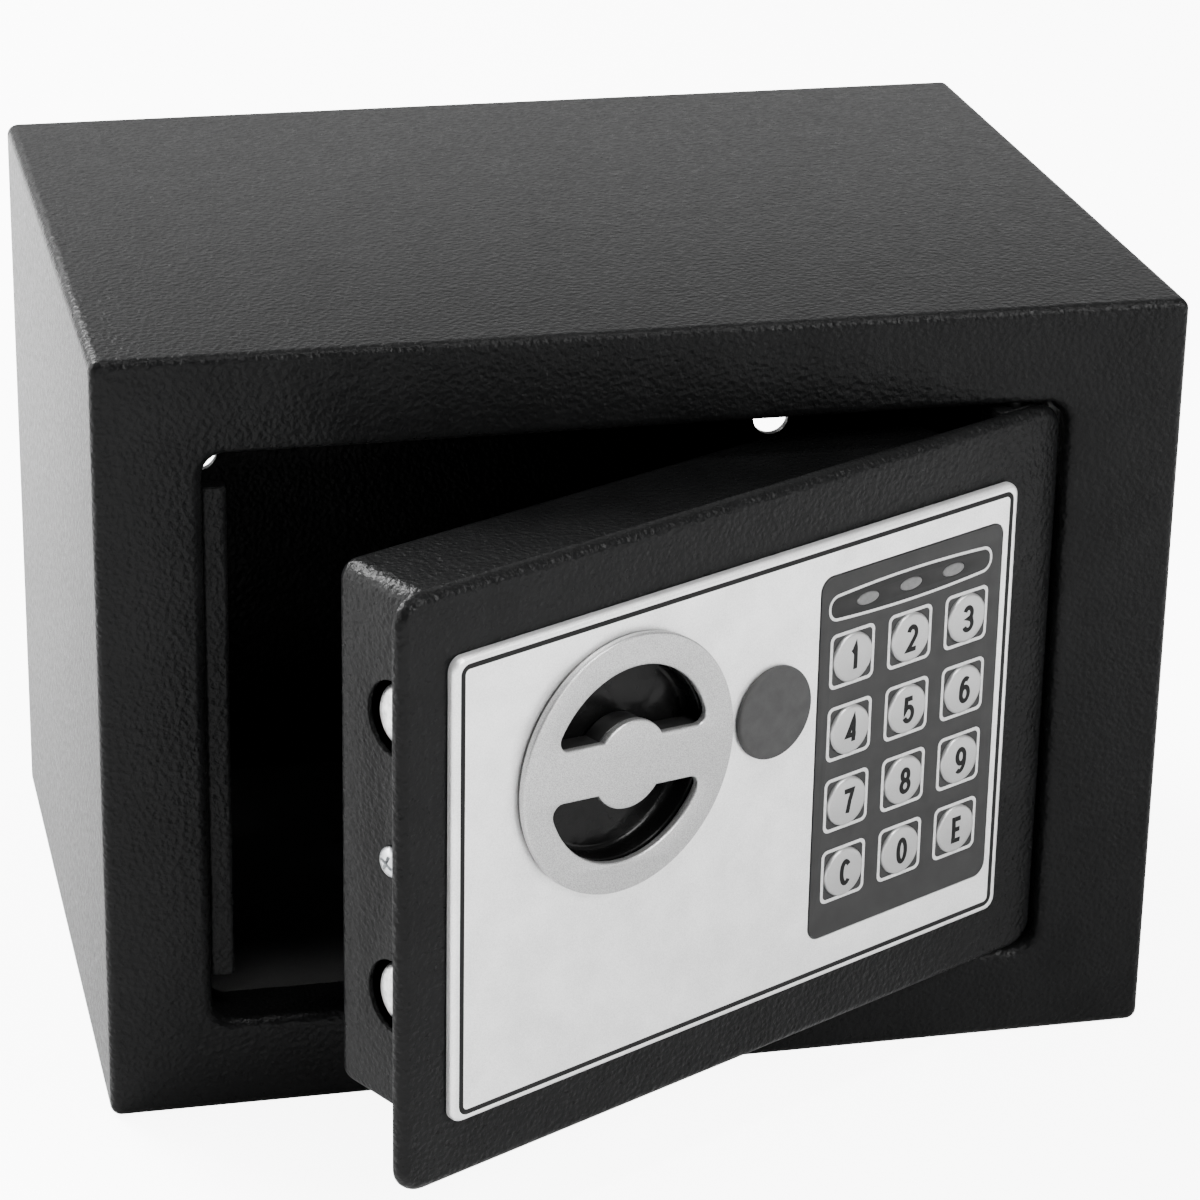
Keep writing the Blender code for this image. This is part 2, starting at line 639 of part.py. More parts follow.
def make_keypad(door, dark, silver, glass, board_green, lamp):
    """Keypad overlay with its keys, light window, lights and circuit board."""
    top = front(-FASCIA_FRONT - 0.2)
    under = front(-1.2)
    overlay = piece("keypad_overlay", prism(rounded(PAD_X, PAD_Z, PAD_W, PAD_H, PAD_CORNER),
                                            top, under), dark, door)
    holes = [placed(rod(KEY_R + GAP, -2, 2), (x, under, z)) for _, x, z in key_places()]
    for name, x, z in key_places():
        profile = [(0, -FASCIA_FRONT - 0.8), (KEY_R - 0.5, -FASCIA_FRONT - 0.8),
                   (KEY_R, -FASCIA_FRONT - 0.5), (KEY_R, -1.65), (0, -1.65)]
        piece("key_" + name, turned(profile), silver, door, (x, front(0), z))
    bar_hole = rounded(PAD_X - 0.5, LIGHT_BAR_Z, LIGHT_BAR_W + 0.5, LIGHT_BAR_H + 0.5,
                       LIGHT_BAR_H / 2 + 0.2)
    holes.append(prism(bar_hole, top - 1, under + 1))
    cut(overlay, "cut_key_holes", gathered(holes))
    bar = prism(rounded(PAD_X - 0.5, LIGHT_BAR_Z, LIGHT_BAR_W, LIGHT_BAR_H, LIGHT_BAR_H / 2 - 0.05),
                top - 0.1, under)
    window = piece("light_window", bar, glass, door)
    for index, name in enumerate(LIGHTS):
        x = PAD_X - 0.7 + (index - 1) * LIGHT_PITCH
        hole = prism(light_outline(x, 0.25), top - 2, under + 2)
        cut(window, "cut_" + name, hole)
        piece(name, prism(light_outline(x), top - 0.25, under), lamp, door)
    board = block(PAD_X - PAD_W / 2 + 2, PAD_X + PAD_W / 2 - 2, front(-0.95), front(-GAP),
                  PAD_Z - PAD_H / 2 + 2, PAD_Z + PAD_H / 2 - 2)
    piece("keypad_board", board, board_green, door)


# ---- lock inside the case -----------------------------------------------------------
def make_bolts(door, steel):
    """Two round locking bolts with domed tips."""
    profile = [(0, 0), (3.2, 0.35), (5.6, 1.3), (6.7, 2.6), (BOLT_R, 4.2),
               (BOLT_R, BOLT_LENGTH), (0, BOLT_LENGTH)]
    for side, z in (("upper", BOLT_MID_Z + BOLT_SPREAD), ("lower", BOLT_MID_Z - BOLT_SPREAD)):
        piece("locking_bolt_" + side, turned(profile), steel, door,
              (BOLT_X0, front(BOLT_DEPTH), z), ALONG_X)


def web_outline():
    """The carriage's web, with two notches in its lower edge for the plunger."""
    high = BOLT_MID_Z + BOLT_SPREAD + 8
    half = PLUNGER_R + 0.6
    deep = WEB_LOW + 5.0
    points = [(CARRIAGE_X0 + CARRIAGE_T, WEB_LOW)]
    for x in (PLUNGER_X, PLUNGER_X + BOLT_THROW):
        points += [(x - half, WEB_LOW), (x - half, deep), (x + half, deep), (x + half, WEB_LOW)]
    points += [(CARRIAGE_X1, WEB_LOW), (CARRIAGE_X1, high), (CARRIAGE_X0 + CARRIAGE_T, high)]
    return points


def make_carriage(door, steel):
    """Bent plate that carries both bolts: a flange behind them and a slotted web."""
    low = BOLT_MID_Z - BOLT_SPREAD - 8
    high = BOLT_MID_Z + BOLT_SPREAD + 8
    web_front = front(CARRIAGE_DEPTH)
    web_back = web_front + CARRIAGE_T
    carriage = piece("bolt_carriage", prism(web_outline(), web_front, web_back), steel, door)
    flange = block(CARRIAGE_X0, CARRIAGE_X0 + CARRIAGE_T + 0.5, front(BOLT_DEPTH - 7), web_back,
                   low, high)
    guide = piece("guide_flange", flange, None, door)
    guide.hide_render = True
    guide.display_type = "WIRE"
    union = carriage.modifiers.new("flange", "BOOLEAN")
    union.operation = "UNION"
    union.object = guide
    slide = BOLT_THROW + 2 * (POST_R + 0.6)
    for side, z in (("low", POST_LOW_Z), ("high", POST_HIGH_Z)):
        width = 2 * (POST_R + 0.6)
        slot = rounded(POST_X + BOLT_THROW / 2, z, slide, width, width / 2 - 0.01)
        cut(carriage, "cut_slot_" + side, prism(slot, web_front - 2, web_back + 2))
    pin_x = KNOB_X + CRANK_R / math.sqrt(2)
    pin_low = KNOB_Z + CRANK_R / math.sqrt(2)
    pin_high = KNOB_Z + CRANK_R
    width = 2 * (CRANK_PIN_R + 0.6)
    slot = rounded(pin_x, (pin_low + pin_high) / 2, width, pin_high - pin_low + width,
                   width / 2 - 0.01)
    cut(carriage, "cut_crank_slot", prism(slot, web_front - 2, web_back + 2))


def make_guide_posts(door, steel):
    """Two shouldered posts that the carriage slides on."""
    shoulder = CARRIAGE_DEPTH - 0.4
    neck = CARRIAGE_DEPTH + CARRIAGE_T + 0.4
    profile = [(0, CASE_FRONT), (4.0, CASE_FRONT), (4.0, shoulder), (POST_R, shoulder),
               (POST_R, neck), (4.5, neck), (4.5, neck + 1.6), (0, neck + 1.6)]
    for side, z in (("upper", POST_HIGH_Z), ("lower", POST_LOW_Z)):
        piece("guide_post_" + side, turned(profile, SMALL_ROUND), steel, door,
              (POST_X, front(0), z))


def make_solenoid(door, steel, copper):
    """Solenoid under the carriage: U frame, coil and plunger."""
    middle_y = front(CARRIAGE_DEPTH + CARRIAGE_T / 2)
    low = CASE_LOW + CASE_WALL + GAP
    high = 43.2
    inner_low, inner_high = low + 1.5, high - 1.5
    x0, x1 = PLUNGER_X - 11, PLUNGER_X + 11
    outline = [(x0, low), (x1, low), (x1, inner_low), (x0 + 1.5, inner_low),
               (x0 + 1.5, inner_high), (x1, inner_high), (x1, high), (x0, high)]
    frame = piece("solenoid_frame", prism(outline, middle_y - 7, middle_y + 7), steel, door)
    cut(frame, "cut_plunger", rod(PLUNGER_R + GAP, -3, 3, SMALL_ROUND),
        (PLUNGER_X, middle_y, high), ALONG_Z)
    bore = PLUNGER_R + GAP
    coil = [(bore, inner_low + GAP), (6.5, inner_low + GAP), (6.5, inner_high - GAP),
            (bore, inner_high - GAP)]
    rings = [[(x, y, z) for x, y in circle(0, 0, radius, SMALL_ROUND)] for radius, z in coil]
    piece("solenoid_coil", loft(rings, ring_closed=True), copper, door,
          (PLUNGER_X, middle_y, 0))
    piece("solenoid_plunger", rod(PLUNGER_R, inner_low + 2.0, PLUNGER_TOP, SMALL_ROUND), steel,
          door, (PLUNGER_X, middle_y, 0), ALONG_Z)


def make_battery(door, black, jacket):
    """Battery holder in the back of the case, its four cells and its cover."""
    x, z = BATTERY_X, BATTERY_Z
    back = CASE_BACK - CASE_WALL - GAP
    wall = BATTERY_WALL
    rings = [depth(rounded(x, z, BATTERY_W - 2 * wall, BATTERY_H - 2 * wall, 0.8),
                   front(BATTERY_FRONT + wall)),
             depth(rounded(x, z, BATTERY_W - 2 * wall, BATTERY_H - 2 * wall, 0.8), front(back)),
             depth(rounded(x, z, BATTERY_W, BATTERY_H, 2.0), front(back)),
             depth(rounded(x, z, BATTERY_W, BATTERY_H, 2.0), front(BATTERY_FRONT))]
    piece("battery_holder", loft(rings), black, door)
    profile = [(0, 0), (CELL_R, 0), (CELL_R, CELL_LENGTH), (2.7, CELL_LENGTH),
               (2.7, CELL_LENGTH + 1.2), (0, CELL_LENGTH + 1.2)]
    cell_depth = front(BATTERY_FRONT + wall + GAP + CELL_R)
    for index in range(4):
        height = z + (1.5 - index) * CELL_PITCH
        flip = index % 2 == 1
        turn = ALONG_X.inverted() if flip else ALONG_X
        start = CELL_LENGTH / 2 if flip else -CELL_LENGTH / 2
        piece(f"battery_cell_{index + 1}", turned(profile), jacket, door,
              (x + start, cell_depth, height), turn)
    smaller = 2 * (BATTERY_RIM + GAP)
    cover = slab(x, z, BATTERY_W - smaller, BATTERY_H - smaller, 1.0,
                 front(CASE_BACK - CASE_WALL), front(CASE_BACK + 0.2), 0.2)
    piece("battery_cover", cover, black, door)


def make_reset_button(door, red):
    """Code-reset button in the back of the case, with its inner flange."""
    tip = CASE_BACK + 1.0
    under_wall = CASE_BACK - CASE_WALL - GAP
    profile = [(0, RESET_START), (RESET_R, RESET_START), (RESET_R, under_wall - 1.5),
               (RESET_FLANGE_R, under_wall - 1.5), (RESET_FLANGE_R, under_wall),
               (RESET_R, under_wall), (RESET_R, tip - 0.4), (RESET_R - 0.4, tip), (0, tip)]
    piece("reset_button", turned(profile, SMALL_ROUND), red, door, (RESET_X, front(0), RESET_Z))


def make_control_board(door, board_green):
    """Circuit board behind the plate that drives the solenoid."""
    y0 = front(CASE_FRONT + 2.0)
    board = block(BATTERY_X - 26, BATTERY_X + 26, y0, y0 + 1.6, 64.0, 120.0)
    piece("control_board", board, board_green, door)


def main():
    """Clear the scene and build the safe."""
    for old in list(bpy.data.objects):
        bpy.data.objects.remove(old)

    paint = material("black_paint", (0.02, 0.02, 0.022), 0.5, 0.0)
    silver = material("silver", (0.62, 0.62, 0.63), 0.35, 0.6)
    black = material("black_plastic", (0.02, 0.02, 0.02), 0.35, 0.0)
    dark = material("dark_overlay", (0.07, 0.07, 0.075), 0.4, 0.0)
    steel = material("steel", (0.6, 0.6, 0.6), 0.3, 1.0)
    brass = material("lock_metal", (0.55, 0.5, 0.38), 0.35, 1.0)
    cap_grey = material("cap_plastic", (0.3, 0.3, 0.31), 0.5, 0.0)
    glass = material("light_window", (0.1, 0.1, 0.11), 0.15, 0.0)
    lamp = material("lamp", (0.2, 0.2, 0.2), 0.3, 0.0)
    board_green = material("board", (0.03, 0.16, 0.08), 0.5, 0.0)
    copper = material("coil", (0.6, 0.25, 0.1), 0.4, 0.6)
    jacket = material("cell_jacket", (0.05, 0.05, 0.06), 0.35, 0.2)
    red = material("red_plastic", (0.6, 0.03, 0.03), 0.4, 0.0)
    felt = material("felt", (0.03, 0.03, 0.03), 0.95, 0.0)

    make_body_shell(paint)
    make_back_panel(paint)
    make_bolt_striker(paint)
    make_floor_mat(felt)
    make_hinge_pins(steel)

    door = empty("door_axis", (PIVOT_X, PIVOT_Y, 0), None, (0, 0, REST_OPEN))
    make_door_plate(door, paint)
    make_hinge_lugs(door, paint)
    make_lock_case(door, paint)
    make_case_fixings(door, steel, paint)
    make_fascia(door, silver)
    make_keypad(door, dark, silver, glass, board_green, lamp)
    make_override_lock(door, cap_grey, brass, steel)

    knob_place = (KNOB_X, front(0), KNOB_Z)
    knob = empty("knob_axis", knob_place, door, (0, KNOB_TILT, 0))
    crank = empty("crank_axis", knob_place, door, (0, 45, 0))
    make_knob(knob, silver, black, steel)
    make_knob_dish(knob, black)
    make_crank(crank, steel)

    make_bolts(door, steel)
    make_carriage(door, steel)
    make_guide_posts(door, steel)
    make_solenoid(door, steel, copper)
    make_battery(door, black, jacket)
    make_reset_button(door, red)
    make_control_board(door, board_green)


main()
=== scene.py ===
"""Looks of the small electronic safe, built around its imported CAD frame.

Meshes are made in millimetres, in the cabinet's frame or in the door's own frame (the
door shut, origin on the hinge axis), and then set in the row frame in metres.
"""

import json
import math

import bmesh
import bpy
from mathutils import Matrix, Vector


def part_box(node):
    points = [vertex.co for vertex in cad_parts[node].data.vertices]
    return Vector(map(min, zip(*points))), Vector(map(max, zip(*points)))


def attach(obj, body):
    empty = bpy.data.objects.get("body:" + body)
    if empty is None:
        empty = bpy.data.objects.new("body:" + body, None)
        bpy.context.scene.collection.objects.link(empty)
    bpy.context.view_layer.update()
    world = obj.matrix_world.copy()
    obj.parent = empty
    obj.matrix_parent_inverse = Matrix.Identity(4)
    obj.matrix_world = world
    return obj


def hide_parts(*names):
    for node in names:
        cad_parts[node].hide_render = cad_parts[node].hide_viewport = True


MM = 0.001

# ---- cabinet, in millimetres, as in the CAD -----------------------------------------
WALL = 2.0
POST_CHAMFER = 0.3
BODY_CORNER = 2.5
FRONT_EDGE = 2.0
OPENING = (-92.8, 89.6, 20.6, 148.8)       # left, right, low and high
OPENING_CORNER = 4.8
OPENING_ROLL = 2.4
REVEAL_DEPTH = 14.0
HINGE_BORE_R = 2.05
ANCHOR_HOLE_R = 4.5
SEAM = 0.3                                 # between the back wall and the wrapper in the CAD
ANCHOR_HOLES = (-72.0, 72.0)
ANCHOR_HOLE_Z = 86.0
MAT_RISE = 1.75                            # of the mat's top above its underside, on average

# ---- door ---------------------------------------------------------------------------
PLATE_CORNER = 6.0
PLATE_EDGE = 2.2
FASCIA_CORNER = 3.0
FASCIA_EDGE = 1.2
FASCIA_TOP = 2.2                           # the fascia's front above the plate's front
CASE_WALL = 1.2
CASE_CORNER = 4.0
CASE_EDGE = 2.5
BOLT_HOLE_R = 8.0
SCREW_HOLE_R = 2.2
SCREW_R = 1.8
SCREW_LENGTH = 5.3                         # head and shank together
RESET_HOLE_R = 3.6
RESET_R = 3.1

# ---- knob, cap and keypad -----------------------------------------------------------
KNOB_R = 27.2
KNOB_TOP = 4.6
KNOB_T = 1.7
KNOB_TILT = 6.5
KNOB_BAR = 11.0
KNOB_HUB_R = 9.3
FINGER_R = 20.6
FINGER_CORNER = 2.2
DISH_WALL = 1.2
DISH_DEPTH = 2.5
DISH_FILLET = 1.4
SPINDLE_R = 3.0
CYLINDER_R = 8.2
PAD_CORNER = 3.0
PAD_TOP = 2.4
KEY_R = 5.4
KEY_TOP = 3.0
KEY_CROWN = 0.3
KEY_FRAME = (12.5, 12.2, 0.72, 1.6)        # width, height, line and corner
GLYPH_W = 3.5
GLYPH_H = 6.1
GLYPH_LINE = 1.08
WINDOW_SAG = 0.9                           # bow of the light window's long sides
WINDOW_CORNER = 2.2
LIGHTS = ("light_low_battery", "light_ready", "light_open")
LAMP_SIDES = 40
STRIPE_IN = (1.7, 1.5)                     # pinstripe in from the fascia's sides and ends
STRIPE_LINE = 1.1
STRIPE_CORNER = 2.2

# ---- smoothness ---------------------------------------------------------------------
CORNER_STEPS = 12
EDGE_STEPS = 7
ROUND = 96
FINE_ROUND = 64

# ---- stage: metres, watts and degrees -----------------------------------------------
FLOOR_REACH = 9000                         # of the floor from the origin, in millimetres
WORLD_SEEN = 9.0                           # strength behind the object, as the camera sees it
FLOOR_SEEN = 7.5
WORLD_FRONT = 0.12                         # strength that falls on the object, front and back
WORLD_BACK = 1.1
SAFE_MIDDLE = (0, 0, 0.08)
LAMPS = (                                  # name, place, target, width, height and power
    ("back_left_softbox", (-1.0, 1.3, 1.4), (-0.25, 0.3, 0.0), 0.9, 0.9, 125),
    ("left_softbox", (-1.6, 0.3, 0.7), (-0.35, 0.05, 0.0), 1.4, 1.2, 46),
    ("front_softbox", (1.3, -1.6, 1.5), SAFE_MIDDLE, 0.9, 0.9, 68),
    ("front_fill", (-0.2, -1.0, 0.12), (-0.05, 0, 0.08), 0.3, 0.3, 1.2),
    ("top_strip", (0.2, -0.5, 1.6), (0, -0.1, 0.08), 1.0, 0.12, 14),
    ("right_strip", (0.9, -1.2, 0.2), SAFE_MIDDLE, 0.1, 0.5, 5),
)
CAMERA_TURN = 13.11                        # towards -X
CAMERA_RISE = 22.60
CAMERA_ROLL = 1.04
CAMERA_TARGET = (0.00692, 0.0, 0.0771)
CAMERA_DISTANCE = 0.9549
CAMERA_LENS = 124.57
CAMERA_SENSOR = 36
CAMERA_SHIFT = (0.0090, -0.0060)

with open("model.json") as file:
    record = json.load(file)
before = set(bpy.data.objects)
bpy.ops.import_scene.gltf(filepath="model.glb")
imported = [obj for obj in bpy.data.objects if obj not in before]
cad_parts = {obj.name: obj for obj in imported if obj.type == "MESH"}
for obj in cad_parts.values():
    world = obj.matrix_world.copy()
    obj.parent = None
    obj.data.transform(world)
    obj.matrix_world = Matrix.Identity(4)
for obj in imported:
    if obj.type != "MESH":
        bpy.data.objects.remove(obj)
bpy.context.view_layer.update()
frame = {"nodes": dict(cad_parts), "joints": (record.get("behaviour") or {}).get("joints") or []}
joints = {joint["name"]: joint for joint in frame["joints"]}
swing = joints["door_swing"]
DOOR = (Matrix.Translation((swing["pos_m"][0], swing["pos_m"][1], 0))
        @ Matrix.Rotation(-math.radians(swing["range_deg"][0]), 4, "Z"))
TO_DOOR = DOOR.inverted()


# ---- places from the frame ----------------------------------------------------------
def span(points):
    """Lowest and highest corner of some points, in millimetres."""
    low = Vector([min(p[i] for p in points) for i in range(3)]) / MM
    high = Vector([max(p[i] for p in points) for i in range(3)]) / MM
    return low, high


def door_box(name):
    """Lowest and highest corner of a CAD node in the door's own frame."""
    return span([TO_DOOR @ v.co for v in frame["nodes"][name].data.vertices])


def cabinet_box(name):
    """Lowest and highest corner of a CAD node in the row frame, in millimetres."""
    low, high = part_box(name)
    return low / MM, high / MM


def middle(box):
    """Middle of a box."""
    return (box[0] + box[1]) / 2


PLATE_FRONT = door_box("door_plate")[0].y
KNOB = middle(door_box("knob_dish"))
CAP = middle(door_box("override_cap"))
KNOB_PLACE = (DOOR @ Matrix.Translation(Vector((KNOB.x, PLATE_FRONT, KNOB.z)) * MM)
              @ Matrix.Rotation(math.radians(KNOB_TILT), 4, "Y"))


# ---- outlines -----------------------------------------------------------------------
def ellipse(x, z, half_w, half_h, sides):
    """Points of an ellipse."""
    steps = [2 * math.pi * i / sides for i in range(sides)]
    return [(x + half_w * math.cos(a), z + half_h * math.sin(a)) for a in steps]


def circle(x, z, radius, sides=ROUND):
    """Points of a circle."""
    return ellipse(x, z, radius, radius, sides)


def arc(x, z, radius, start, end, steps, squash=1.0):
    """Points along an arc, with start and end in degrees."""
    turns = [math.radians(start + (end - start) * i / steps) for i in range(steps + 1)]
    return [(x + radius * math.cos(a), z + squash * radius * math.sin(a)) for a in turns]


def rounded(x, z, width, height, radius, steps=CORNER_STEPS):
    """Outline of a rectangle with round corners about the middle x, z."""
    radius = max(radius, 0.05)
    half_w = width / 2 - radius
    half_h = height / 2 - radius
    points = []
    for quarter, (side_x, side_z) in enumerate(((1, 1), (-1, 1), (-1, -1), (1, -1))):
        points += arc(x + side_x * half_w, z + side_z * half_h, radius,
                      quarter * 90, quarter * 90 + 90, steps)
    return points


def outline(box, grow, corner, steps=CORNER_STEPS):
    """Outline of a box in X and Z, grown all round, with round corners."""
    low, high = box
    mid = middle(box)
    return rounded(mid.x, mid.z, high.x - low.x + 2 * grow, high.z - low.z + 2 * grow,
                   corner, steps)


def depth(points, y):
    """Points in X and Z, set at depth y."""
    return [(x, y, z) for x, z in points]


def quarter_round(radius, steps=EDGE_STEPS):
    """(inset, offset) pairs that turn a flat face into a side."""
    turns = [math.radians(90 * i / steps) for i in range(steps + 1)]
    return [(radius * (1 - math.sin(a)), radius * (1 - math.cos(a))) for a in turns]


# ---- solids -------------------------------------------------------------------------
def loft(rings, closed=False):
    """Skin through rings of equal length, capped unless the last meets the first."""
    bm = bmesh.new()
    loops = [[bm.verts.new(point) for point in ring] for ring in rings]
    count = len(loops)
    for index in range(count if closed else count - 1):
        near = loops[index]
        far = loops[(index + 1) % count]
        for i in range(len(near)):
            j = (i + 1) % len(near)
            bm.faces.new((near[i], near[j], far[j], far[i]))
    if not closed:
        bm.faces.new(loops[0])
        bm.faces.new(loops[-1])
    return bm


def turned(profile, sides=ROUND):
    """Solid of revolution about Y from (radius, y) pairs; a zero radius is a point."""
    bm = bmesh.new()
    loops = []
    for radius, y in profile:
        if radius == 0:
            loops.append([bm.verts.new((0, y, 0))])
        else:
            loops.append([bm.verts.new(p) for p in depth(circle(0, 0, radius, sides), y)])
    for near, far in zip(loops, loops[1:]):
        for i in range(sides):
            j = (i + 1) % sides
            corners = [near[i % len(near)], near[j % len(near)],
                       far[j % len(far)], far[i % len(far)]]
            bm.faces.new(list(dict.fromkeys(corners)))
    return bm


def slab(box, corner, edge, back_edge=0.0, grow=0.0):
    """A box with round corners whose front rim is rounded, and its back rim a little."""
    def ring(inset, y):
        return depth(outline(box, grow - inset, corner - inset), y)

    rings = [ring(inset, box[0].y + offset) for inset, offset in quarter_round(edge)]
    if back_edge:
        rings += [ring(inset, box[1].y - offset)
                  for inset, offset in reversed(quarter_round(back_edge, 3))]
    else:
        rings.append(ring(0, box[1].y))
    return loft(rings)


def post(box, corner):
    """Upright bar with round edges and chamfered ends."""
    low, high = box
    mid = middle(box)
    rings = []
    for inset, z in ((POST_CHAMFER, low.z), (0, low.z + POST_CHAMFER),
                     (0, high.z - POST_CHAMFER), (POST_CHAMFER, high.z)):
        across = rounded(mid.x, mid.y, high.x - low.x - 2 * inset,
                         high.y - low.y - 2 * inset, corner - inset, 8)
        rings.append([(x, y, z) for x, y in across])
    return loft(rings)


def sheet_metal(outlines, y0, y1, edge):
    """A flat plate from an outer outline and its holes, every rim rounded by edge."""
    curve = bpy.data.curves.new("outline", "CURVE")
    curve.dimensions = "2D"
    curve.fill_mode = "BOTH"
    curve.extrude = abs(y1 - y0) / 2 - edge
    curve.bevel_depth = edge
    curve.bevel_resolution = 3
    curve.offset = -edge
    for outline in outlines:
        spline = curve.splines.new("POLY")
        spline.points.add(len(outline) - 1)
        for point, (x, z) in zip(spline.points, outline):
            point.co = (x, z, 0, 1)
        spline.use_cyclic_u = True
    holder = bpy.data.objects.new("outline", curve)
    bpy.context.scene.collection.objects.link(holder)
    bpy.context.view_layer.update()
    mesh = bpy.data.meshes.new_from_object(
        holder.evaluated_get(bpy.context.evaluated_depsgraph_get()))
    bm = bmesh.new()
    bm.from_mesh(mesh)
    bpy.data.objects.remove(holder)
    bpy.data.curves.remove(curve)
    bpy.data.meshes.remove(mesh)
    bmesh.ops.remove_doubles(bm, verts=bm.verts, dist=0.001)
    bm.transform(Matrix.Translation((0, (y0 + y1) / 2, 0)) @ Matrix.Rotation(math.pi / 2, 4, "X"))
    return bm


def line_ring(outer, inner, top, height):
    """A thin raised line between two outlines of equal length."""
    rings = [depth(outer, top), depth(outer, top - height),
             depth(inner, top - height), depth(inner, top)]
    return loft(rings, closed=True)


def rod(radius, start, end, sides=FINE_ROUND):
    """A plain round bar along Y."""
    return turned([(0, start), (radius, start), (radius, end), (0, end)], sides)


def hole(radius, reach, place, sides=FINE_ROUND):
    """Cutter for a round hole along Y, reaching as far both ways from a place."""
    return moved(rod(radius, -reach, reach, sides), place)


def gathered(shapes):
    """Several separate shapes in one bmesh."""
    together = bmesh.new()
    for shape in shapes:
        mesh = bpy.data.meshes.new("gathered")
        shape.to_mesh(mesh)
        shape.free()
        together.from_mesh(mesh)
        bpy.data.meshes.remove(mesh)
    return together


def moved(bm, place):
    """A shape moved to a place."""
    bm.transform(Matrix.Translation(Vector(place)))
    return bm


def rotated(bm, degrees, axis):
    """A shape turned about an axis through the origin."""
    bm.transform(Matrix.Rotation(math.radians(degrees), 4, axis))
    return bm


def mesh_object(name, bm, place=None):
    """A bmesh in millimetres as an object in the row frame."""
    bm.transform((place or Matrix.Identity(4)) @ Matrix.Scale(MM, 4))
    bmesh.ops.recalc_face_normals(bm, faces=bm.faces)
    mesh = bpy.data.meshes.new(name)
    bm.to_mesh(mesh)
    bm.free()
    made = bpy.data.objects.new(name, mesh)
    bpy.context.scene.collection.objects.link(made)
    return made


def cut_out(target, bm, place=None):
    """Cut a shape out of a piece for good."""
    cutter = mesh_object("cutter", bm, place)
    boolean = target.modifiers.new("cut", "BOOLEAN")
    boolean.operation = "DIFFERENCE"
    boolean.object = cutter
    bake_modifiers(target)
    bpy.data.objects.remove(cutter)


def bake_modifiers(target):
    """Put the modifiers' result into the piece's mesh."""
    bpy.context.view_layer.update()
    graph = bpy.context.evaluated_depsgraph_get()
    mesh = bpy.data.meshes.new_from_object(target.evaluated_get(graph))
    target.modifiers.clear()
    target.data = mesh


def soften(target, width, segments=3, angle=35):
    """Round the sharp edges that a cut has left."""
    bevel = target.modifiers.new("rim", "BEVEL")
    bevel.width = width * MM
    bevel.segments = segments
    bevel.limit_method = "ANGLE"
    bevel.angle_limit = math.radians(angle)
    bevel.harden_normals = False
    bake_modifiers(target)


def piece(name, bm, place, finish, body, stands_for=(), smooth=35):
    """A shape as a finished piece."""
    return finished(mesh_object(name, bm, place), finish, body, stands_for, smooth)


def finished(made, finish, body, stands_for=(), smooth=35):
    """Give a piece its material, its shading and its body."""
    made.data.materials.clear()
    made.data.materials.append(finish)
    made.data.shade_smooth()
    made.data.set_sharp_from_angle(angle=math.radians(smooth))
    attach(made, body)
    if stands_for:
        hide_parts(*stands_for)
    return made


